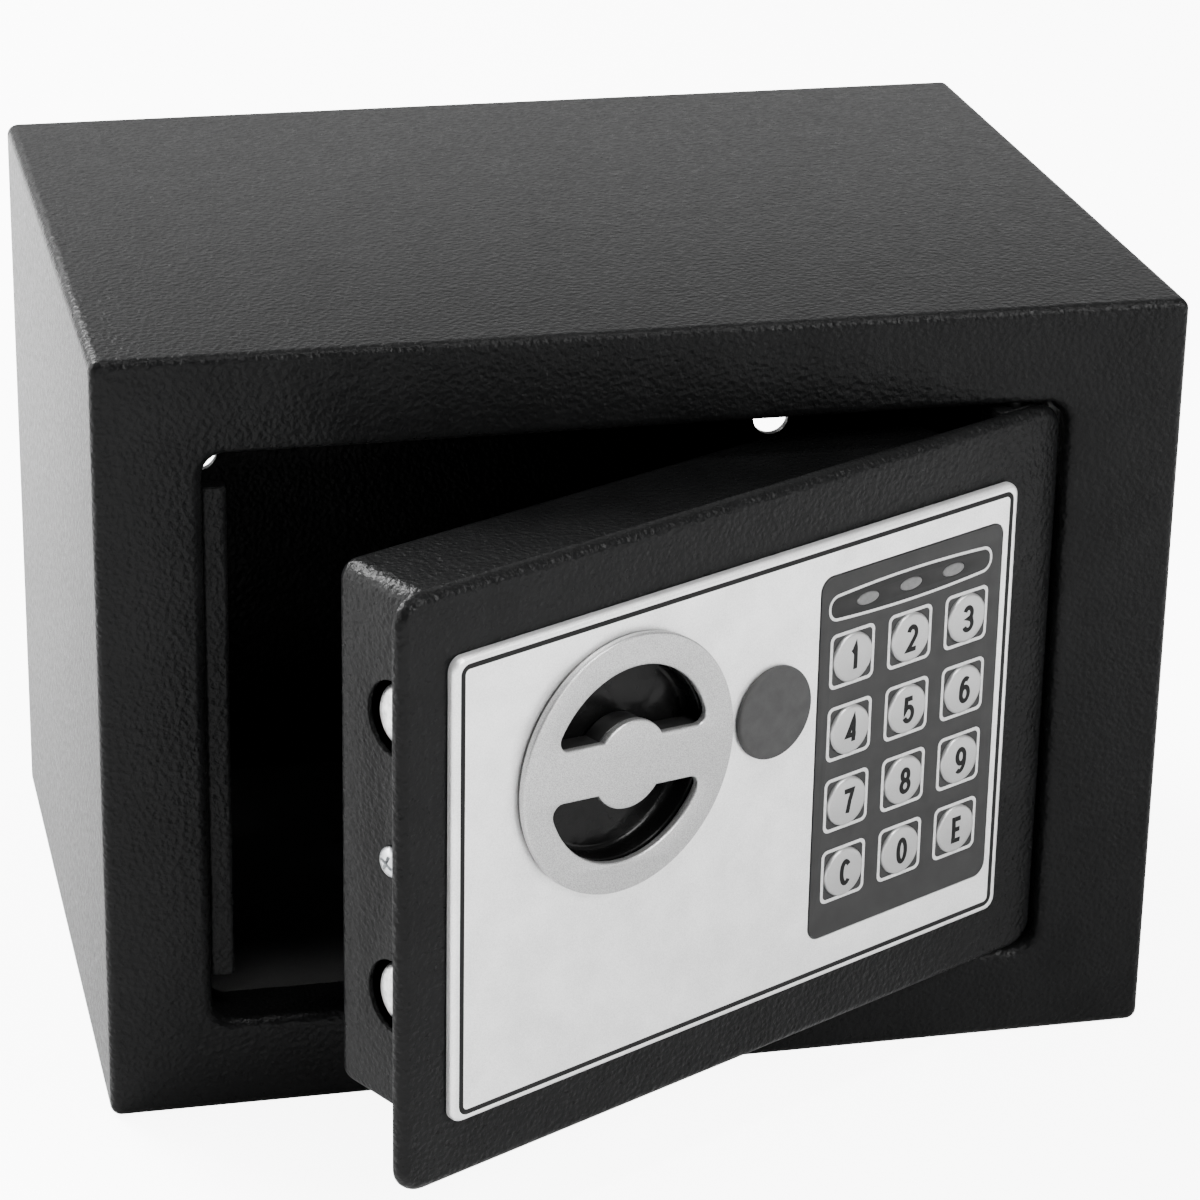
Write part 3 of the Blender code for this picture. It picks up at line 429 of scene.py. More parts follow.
# ---- materials ----------------------------------------------------------------------
class Finish:
    """A Principled material that takes its patterns from the piece's own space.

    The colour and roughness given here are what a viewer without nodes shows.
    """

    def __init__(self, name, colour, roughness, metallic=0.0, specular=0.5):
        self.material = bpy.data.materials.new(name)
        self.material.use_nodes = True
        self.tree = self.material.node_tree
        self.shader = self.tree.nodes["Principled BSDF"]
        self.set("Base Color", (*colour, 1))
        self.set("Roughness", roughness)
        self.set("Metallic", metallic)
        self.set("Specular IOR Level", specular)
        self.space = self.tree.nodes.new("ShaderNodeTexCoord").outputs["Object"]

    def set(self, socket, value):
        """Set one of the shader's own sockets."""
        self.shader.inputs[socket].default_value = value

    def link(self, source, target):
        """Join two sockets."""
        self.tree.links.new(source, target)

    def stretched(self, scale, turn=(0, 0, 0)):
        """The piece's space, scaled and turned."""
        mapping = self.tree.nodes.new("ShaderNodeMapping")
        mapping.vector_type = "POINT"
        mapping.inputs["Scale"].default_value = scale
        mapping.inputs["Rotation"].default_value = [math.radians(angle) for angle in turn]
        self.link(self.space, mapping.inputs["Vector"])
        return mapping.outputs["Vector"]

    def texture(self, kind, size_mm, values, space=None):
        """A texture whose features are about size_mm across."""
        node = self.tree.nodes.new("ShaderNodeTex" + kind)
        node.inputs["Scale"].default_value = 1 / (size_mm * MM)
        for socket, value in values.items():
            node.inputs[socket].default_value = value
        self.link(space or self.space, node.inputs["Vector"])
        return node

    def noise(self, size_mm, detail=2.0, roughness=0.5, space=None, warp=0.0):
        """Clouds or grain."""
        values = {"Detail": detail, "Roughness": roughness, "Distortion": warp}
        return self.texture("Noise", size_mm, values, space).outputs["Fac"]

    def cells(self, size_mm, smooth=0.6):
        """Soft pebbles."""
        node = self.texture("Voronoi", size_mm, {})
        node.feature = "SMOOTH_F1"
        node.inputs["Smoothness"].default_value = smooth
        return node.outputs["Distance"]

    def bands(self, size_mm):
        """Level waves, one above the other about every third of size_mm."""
        node = self.texture("Wave", size_mm, {})
        node.bands_direction = "Z"
        return node.outputs["Fac"]

    def shade(self, factor, low, high, start=0.3, end=0.7):
        """A number that runs from low to high as factor runs from start to end."""
        node = self.tree.nodes.new("ShaderNodeMapRange")
        for socket, value in (("From Min", start), ("From Max", end),
                              ("To Min", low), ("To Max", high)):
            node.inputs[socket].default_value = value
        self.link(factor, node.inputs["Value"])
        return node.outputs["Result"]

    def tint(self, factor, dark, light, start=0.3, end=0.7):
        """A colour between dark and light."""
        node = self.tree.nodes.new("ShaderNodeValToRGB")
        first, last = node.color_ramp.elements
        first.position, last.position = start, end
        first.color, last.color = (*dark, 1), (*light, 1)
        self.link(factor, node.inputs["Fac"])
        return node.outputs["Color"]

    def sum(self, first, second, share):
        """first plus share of second."""
        node = self.tree.nodes.new("ShaderNodeMath")
        node.operation = "MULTIPLY_ADD"
        node.inputs[1].default_value = share
        self.link(second, node.inputs[0])
        self.link(first, node.inputs[2])
        return node.outputs["Value"]

    def colour(self, output):
        """Drive the colour."""
        self.link(output, self.shader.inputs["Base Color"])

    def rough(self, output):
        """Drive the roughness."""
        self.link(output, self.shader.inputs["Roughness"])

    def bump(self, height, size_mm, strength=1.0):
        """Raise the surface by up to size_mm, over any bump that it already has."""
        node = self.tree.nodes.new("ShaderNodeBump")
        node.inputs["Strength"].default_value = strength
        node.inputs["Distance"].default_value = size_mm * MM
        self.link(height, node.inputs["Height"])
        normal = self.shader.inputs["Normal"]
        if normal.is_linked:
            self.link(normal.links[0].from_socket, node.inputs["Normal"])
        self.link(node.outputs["Normal"], normal)


def grey(value, warm=0.0):
    """A grey, a touch warm or cool."""
    return (value * (1 + warm), value, value * (1 - warm))


def powder_coat():
    """Black orange-peel powder coat with a leathery pebble."""
    coat = Finish("powder_coat_black", grey(0.0045), 0.32, specular=0.08)
    patch = coat.noise(14, 3)
    coat.colour(coat.tint(patch, grey(0.0038, -0.02), grey(0.0055, -0.02)))
    pebble = coat.sum(coat.cells(1.2), coat.noise(0.8, 2, 0.6, warp=0.4), 0.9)
    coat.rough(coat.shade(coat.noise(1.4, 2), 0.26, 0.38))
    coat.bump(coat.noise(9, 1), 0.06)
    coat.bump(pebble, 0.2)
    return coat.material


def fascia_silver():
    """Satin silver film with a very fine grain."""
    film = Finish("fascia_satin_silver", grey(0.84), 0.38, 0.7)
    grain = film.noise(0.3, 3, 0.75)
    film.colour(film.tint(film.sum(grain, film.noise(9, 3), 0.45),
                          grey(0.66), grey(0.96), 0.45, 0.9))
    film.rough(film.shade(grain, 0.33, 0.46))
    film.bump(grain, 0.014)
    film.bump(film.noise(3.5, 2), 0.02, 0.6)
    return film.material


def knob_silver():
    """Silver lacquer on moulded plastic, with its flake."""
    lacquer = Finish("knob_silver_lacquer", grey(0.58), 0.36, 0.8)
    flake = lacquer.noise(0.22, 3, 0.7)
    lacquer.colour(lacquer.tint(flake, grey(0.3), grey(0.54), 0.4, 0.62))
    lacquer.rough(lacquer.shade(lacquer.noise(2.5, 3), 0.31, 0.42))
    lacquer.bump(flake, 0.01)
    lacquer.bump(lacquer.noise(6, 1), 0.02, 0.5)
    return lacquer.material


def key_silver():
    """Metallised key domes."""
    dome = Finish("key_silver_print", grey(0.62), 0.34, 0.7)
    grain = dome.noise(0.09, 2, 0.6)
    dome.colour(dome.tint(grain, grey(0.3), grey(0.46)))
    dome.rough(dome.shade(grain, 0.28, 0.4))
    dome.bump(grain, 0.004)
    return dome.material


def tinted(name, dark, light, roughness, patch, grain, metallic=0.0, specular=0.5):
    """A plain finish: patches between two colours, and a fine grain to the touch."""
    made = Finish(name, [(a + b) / 2 for a, b in zip(dark, light)], roughness, metallic,
                  specular)
    made.colour(made.tint(made.noise(*patch), dark, light))
    made.bump(made.noise(grain[0], 2), grain[1])
    return made.material


def ink(name, value):
    """Printed ink, a little uneven."""
    return tinted(name, grey(value * 0.85), grey(value * 1.15), 0.55, (0.5, 2), (0.2, 0.004),
                  specular=0.12)


def overlay_film():
    """Dark grey velvet-textured keypad film."""
    film = Finish("keypad_film_dark", grey(0.018), 0.45, specular=0.2)
    grain = film.noise(0.2, 2, 0.6)
    film.colour(film.tint(film.noise(4, 2), grey(0.016), grey(0.021)))
    film.rough(film.shade(grain, 0.4, 0.52))
    film.bump(grain, 0.008)
    return film.material


def moulded(name, value, roughness, ripple=0.02, specular=0.5):
    """Moulded plastic with fine spark texture and slight sink marks."""
    plastic = Finish(name, grey(value), roughness, specular=specular)
    grain = plastic.noise(0.25, 2, 0.6)
    plastic.colour(plastic.tint(plastic.noise(3, 2), grey(value * 0.88), grey(value * 1.12)))
    plastic.rough(plastic.shade(grain, roughness * 0.88, roughness * 1.14))
    plastic.bump(plastic.noise(5, 1), ripple)
    plastic.bump(grain, 0.008)
    return plastic.material


def dish_gloss():
    """Glossy black film on the dish's floor and wall, a little wrinkled."""
    gloss = Finish("dish_gloss_black", grey(0.003), 0.24, specular=0.12)
    gloss.rough(gloss.shade(gloss.noise(4, 2), 0.18, 0.32))
    gloss.bump(gloss.noise(8, 1, warp=1.2), 0.22)
    gloss.bump(gloss.noise(1.6, 2), 0.02)
    return gloss.material


def scratched_steel():
    """Bright steel with turning lines and scratches."""
    steel = Finish("steel_scratched", grey(0.62), 0.25, 1.0)
    scratch = steel.noise(0.25, 3, 0.7, steel.stretched((1, 1, 0.08), (20, 35, 0)))
    blotch = steel.noise(2.2, 4, 0.65)
    steel.colour(steel.tint(blotch, grey(0.5), grey(0.92), 0.35, 0.62))
    steel.rough(steel.shade(steel.sum(scratch, blotch, 0.6), 0.22, 0.5, 0.5, 1.1))
    steel.bump(scratch, 0.02)
    steel.bump(blotch, 0.05)
    return steel.material


def zinc():
    """Zinc plate with its faint spangle."""
    plate = Finish("zinc_plated", grey(0.56, -0.03), 0.35, 1.0)
    spangle = plate.cells(2.4, 0.2)
    plate.colour(plate.tint(spangle, grey(0.45, -0.03), grey(0.62, -0.02), 0.1, 0.6))
    plate.rough(plate.shade(plate.noise(0.6, 3), 0.28, 0.48))
    plate.bump(plate.noise(0.3, 2), 0.01)
    return plate.material


def lock_brass():
    """Turned brass with tool marks."""
    brass = Finish("lock_brass", (0.62, 0.5, 0.28), 0.3, 1.0)
    marks = brass.noise(0.3, 2, 0.6, brass.stretched((1, 0.2, 1)))
    brass.colour(brass.tint(marks, (0.5, 0.39, 0.2), (0.7, 0.57, 0.33)))
    brass.rough(brass.shade(marks, 0.22, 0.42))
    brass.bump(marks, 0.01)
    return brass.material


def circuit_board():
    """Green solder mask with raised tracks."""
    board = Finish("circuit_board_green", (0.02, 0.16, 0.07), 0.35)
    tracks = board.cells(3.2, 0.0)
    board.colour(board.tint(tracks, (0.015, 0.11, 0.05), (0.04, 0.26, 0.11), 0.45, 0.5))
    board.bump(tracks, 0.05)
    board.rough(board.shade(board.noise(0.5, 2), 0.3, 0.45))
    return board.material


def coil_copper():
    """Enamelled copper wire, wound side by side."""
    coil = Finish("coil_copper", (0.6, 0.22, 0.08), 0.3, 0.8)
    wires = coil.bands(8)
    coil.colour(coil.tint(wires, (0.3, 0.09, 0.03), (0.72, 0.3, 0.12), 0.1, 0.8))
    coil.bump(wires, 0.15)
    return coil.material


def cell_jacket():
    """Printed battery sleeve."""
    return tinted("cell_sleeve", (0.03, 0.03, 0.035), (0.07, 0.065, 0.06), 0.28, (6, 1),
                  (0.4, 0.01), 0.3)


def red_plastic():
    """Red moulded button."""
    return tinted("button_red", (0.48, 0.015, 0.015), (0.62, 0.03, 0.025), 0.35, (1.2, 2),
                  (0.3, 0.008))


def felt():
    """Black felt with matted fibres."""
    cloth = Finish("floor_felt", grey(0.02), 0.95, specular=0.1)
    fibre = cloth.noise(0.5, 5, 0.75, warp=2.0)
    cloth.colour(cloth.tint(fibre, grey(0.012), grey(0.045), 0.35, 0.75))
    cloth.bump(fibre, 0.35)
    cloth.bump(cloth.noise(7, 3), 0.3)
    cloth.set("Sheen Weight", 0.3)
    cloth.set("Sheen Roughness", 0.5)
    return cloth.material


def lamp_lens():
    """Unlit smoky lens of an indicator."""
    return tinted("indicator_lens", grey(0.075), grey(0.105), 0.3, (0.8, 2), (0.3, 0.006))


# ---- cabinet pieces -----------------------------------------------------------------
def opening_ring(grow, y):
    """The door opening's outline, grown outwards all round."""
    left, right, low, high = OPENING
    return depth(rounded((left + right) / 2, (low + high) / 2, right - left + 2 * grow,
                         high - low + 2 * grow, OPENING_CORNER + grow), y)


def make_shell(box, coat):
    """Wrapper, rolled front frame and reveal."""
    low, high = box

    def body_ring(inset, y):
        return depth(outline(box, -inset, max(BODY_CORNER - inset, 0.4)), y)

    rings = [body_ring(0.4, high.y), body_ring(0.1, high.y - 0.1), body_ring(0, high.y - 0.4)]
    for inset, offset in reversed(quarter_round(FRONT_EDGE)):
        rings.append(body_ring(inset, low.y + offset))
    for inset, offset in quarter_round(OPENING_ROLL):
        rings.append(opening_ring(inset, low.y + offset))
    rings.append(opening_ring(0, low.y + REVEAL_DEPTH - 0.3))
    rings.append(opening_ring(0.3, low.y + REVEAL_DEPTH))
    rings.append(opening_ring(WALL, low.y + REVEAL_DEPTH))
    rings.append(opening_ring(WALL, low.y + WALL))
    rings.append(body_ring(WALL, low.y + WALL))
    rings.append(body_ring(WALL, high.y - 0.3))
    rings.append(body_ring(WALL - 0.3, high.y))
    piece("safe_shell", loft(rings, closed=True), None, coat, "cabinet",
          ["body_shell"], smooth=50)


def make_back(box, coat):
    """Back wall with anchor holes and the dimples of its spot welds."""
    low, high = box
    back = mesh_object("back_wall", slab(box, 0.4, 0.3, 0.3, SEAM))
    cuts = [moved(rod(ANCHOR_HOLE_R, low.y - WALL, high.y + WALL), (x, 0, ANCHOR_HOLE_Z))
            for x in ANCHOR_HOLES]
    rim = 7.0
    dimple = 2.2
    across = [low.x + rim + (high.x - low.x - 2 * rim) * i / 5 for i in range(6)]
    upright = [low.z + rim + (high.z - low.z - 2 * rim) * i / 4 for i in range(1, 4)]
    spots = [(x, z) for x in across for z in (low.z + rim, high.z - rim)]
    spots += [(x, z) for z in upright for x in (low.x + rim, high.x - rim)]
    for x, z in spots:
        cuts.append(moved(rod(dimple, high.y - 0.25, high.y + 1, 32), (x, 0, z)))
    cut_out(back, gathered(cuts))
    soften(back, 0.2)
    finished(back, coat, "cabinet", ["back_panel"])


def make_striker(box, coat):
    """Upright bar that the bolts catch behind."""
    piece("striker_bar", post(box, 0.9), None, coat, "cabinet",
          ["bolt_striker"])


def make_mat(box, cloth):
    """Felt mat: a laid sheet with soft edges that rises and falls a little."""
    low, high = box
    mid = middle(box)
    width, length = high.x - low.x, high.y - low.y
    columns, rows = 88, 56
    bm = bmesh.new()

    def rise(x, y):
        return 0.12 * math.sin(x / 19 + 1.3) * math.cos(y / 23) + 0.06 * math.sin(x / 7 - y / 11)

    def vertex(column, row, z, wave):
        x = low.x + width * column / columns
        y = low.y + length * row / rows
        return bm.verts.new((x, y, z + wave * rise(x - mid.x, y - mid.y)))

    top, under = ([[vertex(column, row, z, wave) for column in range(columns + 1)]
                   for row in range(rows + 1)]
                  for z, wave in ((low.z + MAT_RISE, 1.0), (low.z, 0.0)))
    for row in range(rows):
        for column in range(columns):
            for grid in (top, under):
                bm.faces.new((grid[row][column], grid[row][column + 1],
                              grid[row + 1][column + 1], grid[row + 1][column]))
    rim = [(0, c) for c in range(columns)] + [(r, columns) for r in range(rows)]
    rim += [(rows, c) for c in range(columns, 0, -1)] + [(r, 0) for r in range(rows, 0, -1)]
    for here, there in zip(rim, rim[1:] + rim[:1]):
        bm.faces.new((top[here[0]][here[1]], top[there[0]][there[1]],
                      under[there[0]][there[1]], under[here[0]][here[1]]))
    mat = mesh_object("felt_mat", bm)
    soften(mat, 0.6, 3, 50)
    finished(mat, cloth, "cabinet", ["floor_mat"], smooth=80)


# ---- door pieces --------------------------------------------------------------------
def make_plate(coat):
    """Thin front plate of the door, its rim rounded."""
    shape = slab(door_box("door_plate"), PLATE_CORNER, PLATE_EDGE, 0.4)
    plate = mesh_object("front_plate", shape, DOOR)
    gap = 0.3
    cuts = [hole(FINGER_R + DISH_WALL + gap, 9, (KNOB.x, PLATE_FRONT, KNOB.z), ROUND),
            hole(CYLINDER_R + gap, 9, (CAP.x, PLATE_FRONT, CAP.z))]
    cut_out(plate, gathered(cuts), DOOR)
    finished(plate, coat, "door", ["door_plate"], smooth=40)


def make_case(box, bolts, screw_z, coat):
    """Pressed lock case with rounded bends, bolt holes and the battery opening."""
    low, high = box

    def ring(inset, y):
        return depth(outline(box, -inset, max(CASE_CORNER - inset, 1.0)), y)

    rings = [ring(CASE_WALL, high.y - CASE_WALL), ring(CASE_WALL, low.y), ring(0, low.y)]
    for inset, offset in reversed(quarter_round(CASE_EDGE)):
        rings.append(ring(inset, high.y - offset))
    case = mesh_object("lock_case_cover", loft(rings), DOOR)
    cuts = []
    for bolt in bolts:
        across = rotated(rod(BOLT_HOLE_R, -4, 4, ROUND), -90, "Z")
        cuts.append(moved(across, (low.x, bolt.y, bolt.z)))
    for x in (low.x, high.x):
        across = rotated(rod(SCREW_HOLE_R, -4, 4), -90, "Z")
        cuts.append(moved(across, (x, bolts[0].y, screw_z)))
    window = outline(door_box("battery_cover"), 0.3, 1.2)
    cuts.append(loft([depth(window, high.y + y) for y in (-3, 3)]))
    button = middle(door_box("reset_button"))
    cuts.append(moved(rod(RESET_HOLE_R, high.y - 4, high.y + 4), (button.x, 0, button.z)))
    cut_out(case, gathered(cuts), DOOR)
    soften(case, 0.25)
    finished(case, coat, "door", ["lock_case"], smooth=40)


def make_fascia(box, pad, silver):
    """Silver fascia with its openings and a softly rounded rim."""
    fascia = mesh_object("silver_fascia_panel", slab(box, FASCIA_CORNER, FASCIA_EDGE), DOOR)
    gap = 0.25
    front = box[0].y
    window = outline(pad, gap, PAD_CORNER + gap)
    cuts = [hole(FINGER_R + DISH_WALL + gap, 5, (KNOB.x, front, KNOB.z), ROUND),
            hole(CYLINDER_R + gap, 5, (CAP.x, front, CAP.z)),
            loft([depth(window, front + y) for y in (-3, 5)])]
    cut_out(fascia, gathered(cuts), DOOR)
    finished(fascia, silver, "door", ["fascia_panel"], smooth=40)


def make_pinstripe(box, black):
    """Black line printed round the fascia, inside its rim."""
    low, high = box
    mid = middle(box)
    width = high.x - low.x - 2 * STRIPE_IN[0]
    tall = high.z - low.z - 2 * STRIPE_IN[1]
    outer = rounded(mid.x, mid.z, width, tall, STRIPE_CORNER)
    inner = rounded(mid.x, mid.z, width - 2 * STRIPE_LINE, tall - 2 * STRIPE_LINE,
                    STRIPE_CORNER - STRIPE_LINE)
    piece("fascia_pinstripe", line_ring(outer, inner, low.y + 0.1, 0.12), DOOR, black,
          "door")


# ---- knob ---------------------------------------------------------------------------
def finger_outline():
    """One finger cut-out: a segment of a circle with round ends and a notch for the hub."""
    edge = KNOB_BAR / 2
    corner = FINGER_CORNER
    reach = math.sqrt((FINGER_R - corner) ** 2 - (edge + corner) ** 2)
    lean = math.degrees(math.atan2(edge + corner, reach))
    hub = math.degrees(math.asin(edge / KNOB_HUB_R))
    points = arc(reach, edge + corner, corner, -90, lean, 10)
    points += arc(0, 0, FINGER_R, lean, 180 - lean, 64)[1:-1]
    points += arc(-reach, edge + corner, corner, 180 - lean, 270, 10)
    points += arc(0, 0, KNOB_HUB_R, 180 - hub, hub, 32)
    return points


def core_outline(half_bar, hub_r, reach):
    """A bar with a round hub in its middle and round ends."""
    hub = math.degrees(math.asin(half_bar / hub_r))
    tip = math.degrees(math.asin(half_bar / reach))
    points = arc(0, 0, reach, -tip, tip, 8)
    points += arc(0, 0, hub_r, hub, 180 - hub, 32)
    points += arc(0, 0, reach, 180 - tip, 180 + tip, 8)
    points += arc(0, 0, hub_r, 180 + hub, 360 - hub, 32)
    return points


def make_knob(silver, black):
    """Pierced silver disc over a black bar and hub, with a black skirt ring under its rim that is
    partly a guessed black base and partly painted shade.
    """
    upper = finger_outline()
    lower = [(-x, -z) for x, z in upper]
    disc = sheet_metal([circle(0, 0, KNOB_R, 2 * ROUND), upper, lower],
                       -KNOB_TOP, -KNOB_TOP + KNOB_T, 0.42)
    piece("knob_disc", disc, KNOB_PLACE, silver, "knob", ["knob_face"], smooth=28)
    outline = core_outline(KNOB_BAR / 2 - 0.3, KNOB_HUB_R - 0.3, FINGER_R - 0.6)
    core = sheet_metal([outline], -KNOB_TOP + KNOB_T + 0.05, DISH_DEPTH - 0.6, 0.5)
    piece("knob_bar_core", core, KNOB_PLACE, black, "knob", ["knob_core"],
          smooth=28)
    # The black skirt ring under the disc's rim is partly a guessed black base and partly painted
    # shade, standing in for the shadow gap between disc and fascia.
    skirt = [circle(0, 0, KNOB_R - 0.25, 2 * ROUND), circle(0, 0, FINGER_R + 1.6, 2 * ROUND)]
    ring = sheet_metal(skirt, -KNOB_TOP + KNOB_T, -FASCIA_TOP - 0.08, 0.1)
    piece("knob_skirt_painted_shadow", ring, KNOB_PLACE, black, "knob", smooth=28)


def make_dish(gloss):
    """Glossy dish behind the knob, its floor meeting the wall in a small fillet."""
    outer = FINGER_R + DISH_WALL
    profile = [(SPINDLE_R + 0.5, DISH_DEPTH)]
    profile += [(FINGER_R - inset, DISH_DEPTH - offset)
                for inset, offset in quarter_round(DISH_FILLET)]
    profile += [(FINGER_R, -FASCIA_TOP + 0.3), (FINGER_R + 0.2, -FASCIA_TOP + 0.1),
                (outer - 0.2, -FASCIA_TOP + 0.1), (outer, -FASCIA_TOP + 0.3),
                (outer, DISH_DEPTH + DISH_WALL), (SPINDLE_R + 0.5, DISH_DEPTH + DISH_WALL)]
    rings = [depth(circle(0, 0, radius, 2 * ROUND), y) for radius, y in profile]
    piece("knob_recess_dish", loft(rings, closed=True), KNOB_PLACE, gloss, "door",
          ["knob_dish"])


def make_cap(grey_plastic):
    """Pull-off cap over the override lock, a little crowned."""
    box = door_box("override_cap")
    radius = (box[1].x - box[0].x) / 2
    top = box[0].y - PLATE_FRONT
    edge = 0.8
    skirt = CYLINDER_R - 0.4
    profile = [(0, top), (radius * 0.5, top + 0.03), (radius - edge, top + 0.1)]
    profile += [(radius - inset, top + 0.1 + offset)
                for inset, offset in quarter_round(edge)[1:]]
    profile += [(radius, -FASCIA_TOP - 0.3), (skirt, -FASCIA_TOP - 0.3), (skirt, 0),
                (skirt - 1.2, 0), (skirt - 1.2, top + 1.1), (0, top + 1.1)]
    piece("lock_cap", moved(turned(profile), (CAP.x, PLATE_FRONT, CAP.z)), DOOR,
          grey_plastic, "cap", ["override_cap"])


# ---- keypad -------------------------------------------------------------------------
def crown(x, z):
    """Height of a key's domed top above its rim."""
    return KEY_CROWN * max(0.0, 1 - (x * x + z * z) / (KEY_R - 0.5) ** 2)


def glyph_paths(name):
    """Centre lines of a character in a box one wide and one high, and if each is closed."""
    shapes = {
        "1": [([(0.2, 0.76), (0.42, 0.84), (0.58, 1.0), (0.58, 0.0)], False)],
        "2": [(arc(0.5, 0.73, 0.45, 165, -35, 16, 0.6) + [(0.05, 0.0), (0.98, 0.0)], False)],
        "3": [(arc(0.46, 0.755, 0.42, 160, -80, 16, 0.585)
               + arc(0.46, 0.255, 0.47, 85, -160, 18, 0.545), False)],
        "4": [([(0.74, 0.0), (0.74, 1.0), (0.02, 0.3), (1.0, 0.3)], False)],
        "5": [([(0.92, 1.0), (0.2, 1.0), (0.1, 0.5)]
               + arc(0.46, 0.32, 0.48, 125, -155, 20, 0.67), False)],
        "6": [(arc(0.5, 0.32, 0.45, 0, 360, 28, 0.71)[:-1], True),
              (arc(0.62, 0.46, 0.57, 60, 195, 14, 0.95), False)],
        "7": [([(0.02, 1.0), (0.98, 1.0)] + [(0.62, 0.55), (0.42, 0.0)], False)],
        "8": [(arc(0.5, 0.765, 0.38, 0, 360, 24, 0.62)[:-1], True),
              (arc(0.5, 0.265, 0.46, 0, 360, 26, 0.576)[:-1], True)],
        "0": [(arc(0.5, 0.5, 0.43, 0, 360, 32, 1.163)[:-1], True)],
        "clear": [(arc(0.52, 0.5, 0.47, 42, 318, 24, 1.06), False)],
        "enter": [([(0.95, 1.0), (0.1, 1.0), (0.1, 0.0), (0.95, 0.0)], False),
                  ([(0.1, 0.52), (0.82, 0.52)], False)],
    }
    if name == "9":
        return [([(1 - x, 1 - z) for x, z in path], closed) for path, closed in shapes["6"]]
    return shapes[name]


def dense(path, closed, step):
    """A path with extra points, so that it can follow a curved surface."""
    points = []
    pairs = list(zip(path, path[1:] + path[:1] if closed else path[1:]))
    for (x0, z0), (x1, z1) in pairs:
        count = max(1, round(math.hypot(x1 - x0, z1 - z0) / step))
        points += [(x0 + (x1 - x0) * i / count, z0 + (z1 - z0) * i / count)
                   for i in range(count)]
    return points if closed else points + [path[-1]]


def ribbon(bm, path, closed, width, top, thick):
    """A flat solid line along a path, mitred at its turns and laid on a key's dome."""
    count = len(path)
    rows = []
    for i, (x, z) in enumerate(path):
        before = path[i - 1] if closed or i else path[i]
        after = path[(i + 1) % count] if closed or i < count - 1 else path[i]
        inward = Vector((x - before[0], z - before[1]))
        outward = Vector((after[0] - x, after[1] - z))
        inward = inward.normalized() if inward.length else outward.normalized()
        outward = outward.normalized() if outward.length else inward
        along = (inward + outward).normalized()
        side = Vector((-along.y, along.x))
        reach = width / 2 / max(0.35, abs(side.dot(Vector((-inward.y, inward.x)))))
        left = (x + side.x * reach, z + side.y * reach)
        right = (x - side.x * reach, z - side.y * reach)
        rows.append([bm.verts.new((px, top - crown(px, pz) - height, pz))
                     for px, pz, height in ((*left, -0.1), (*left, thick),
                                            (*right, thick), (*right, -0.1))])
    for i in range(count if closed else count - 1):
        near, far = rows[i], rows[(i + 1) % count]
        for k in range(4):
            bm.faces.new((near[k], near[(k + 1) % 4], far[(k + 1) % 4], far[k]))
    if not closed:
        bm.faces.new(rows[0])
        bm.faces.new(rows[-1])


def make_key(name, box, silver, black, pale):
    """One domed key with its character, and the printed frame round it."""
    mid = middle(box)
    rim = -KEY_TOP + 0.02
    profile = [(radius, rim - crown(radius, 0))
               for radius in (0, 1.5, 2.8, 3.8, 4.5, KEY_R - 0.5)]
    profile += [(KEY_R - 0.24, rim + 0.07), (KEY_R - 0.06, rim + 0.24), (KEY_R, rim + 0.45),
                (KEY_R, -1.65), (0, -1.65)]
    place = (mid.x, PLATE_FRONT, mid.z)
    body = "key_" + name
    piece("key_dome_" + name, moved(turned(profile, FINE_ROUND), place), DOOR, silver, body,
          [body], smooth=50)

    bm = bmesh.new()
    wide = GLYPH_W - GLYPH_LINE
    tall = GLYPH_H - GLYPH_LINE
    for path, closed in glyph_paths(name):
        scaled = [((x - 0.5) * wide, (z - 0.5) * tall) for x, z in path]
        ribbon(bm, dense(scaled, closed, 0.35), closed, GLYPH_LINE, rim, 0.035)
    piece("key_mark_" + name, moved(bm, place), DOOR, black, body, smooth=60)

    width, tall, line, corner = KEY_FRAME
    outer = rounded(mid.x, mid.z, width, tall, corner)
    inner = rounded(mid.x, mid.z, width - 2 * line, tall - 2 * line, corner - line * 0.7)
    piece("key_frame_" + name, line_ring(outer, inner, PLATE_FRONT - PAD_TOP + 0.05, 0.08),
          DOOR, pale, "door")


def barrel(x, z, width, tall, corner):
    """A long pill whose long sides bow outwards a little."""
    points = rounded(x, z, width, tall - 2 * WINDOW_SAG, corner, 8)
    bowed = []
    count = len(points)
    for i, (px, pz) in enumerate(points):
        qx, qz = points[(i + 1) % count]
        steps = 12 if abs(qx - px) > width / 3 else 1
        for k in range(steps):
            rx, rz = px + (qx - px) * k / steps, pz + (qz - pz) * k / steps
            lift = WINDOW_SAG * max(0.0, 1 - ((rx - x) / (width / 2)) ** 2)
            bowed.append((rx, rz + math.copysign(lift, rz - z)))
    return bowed


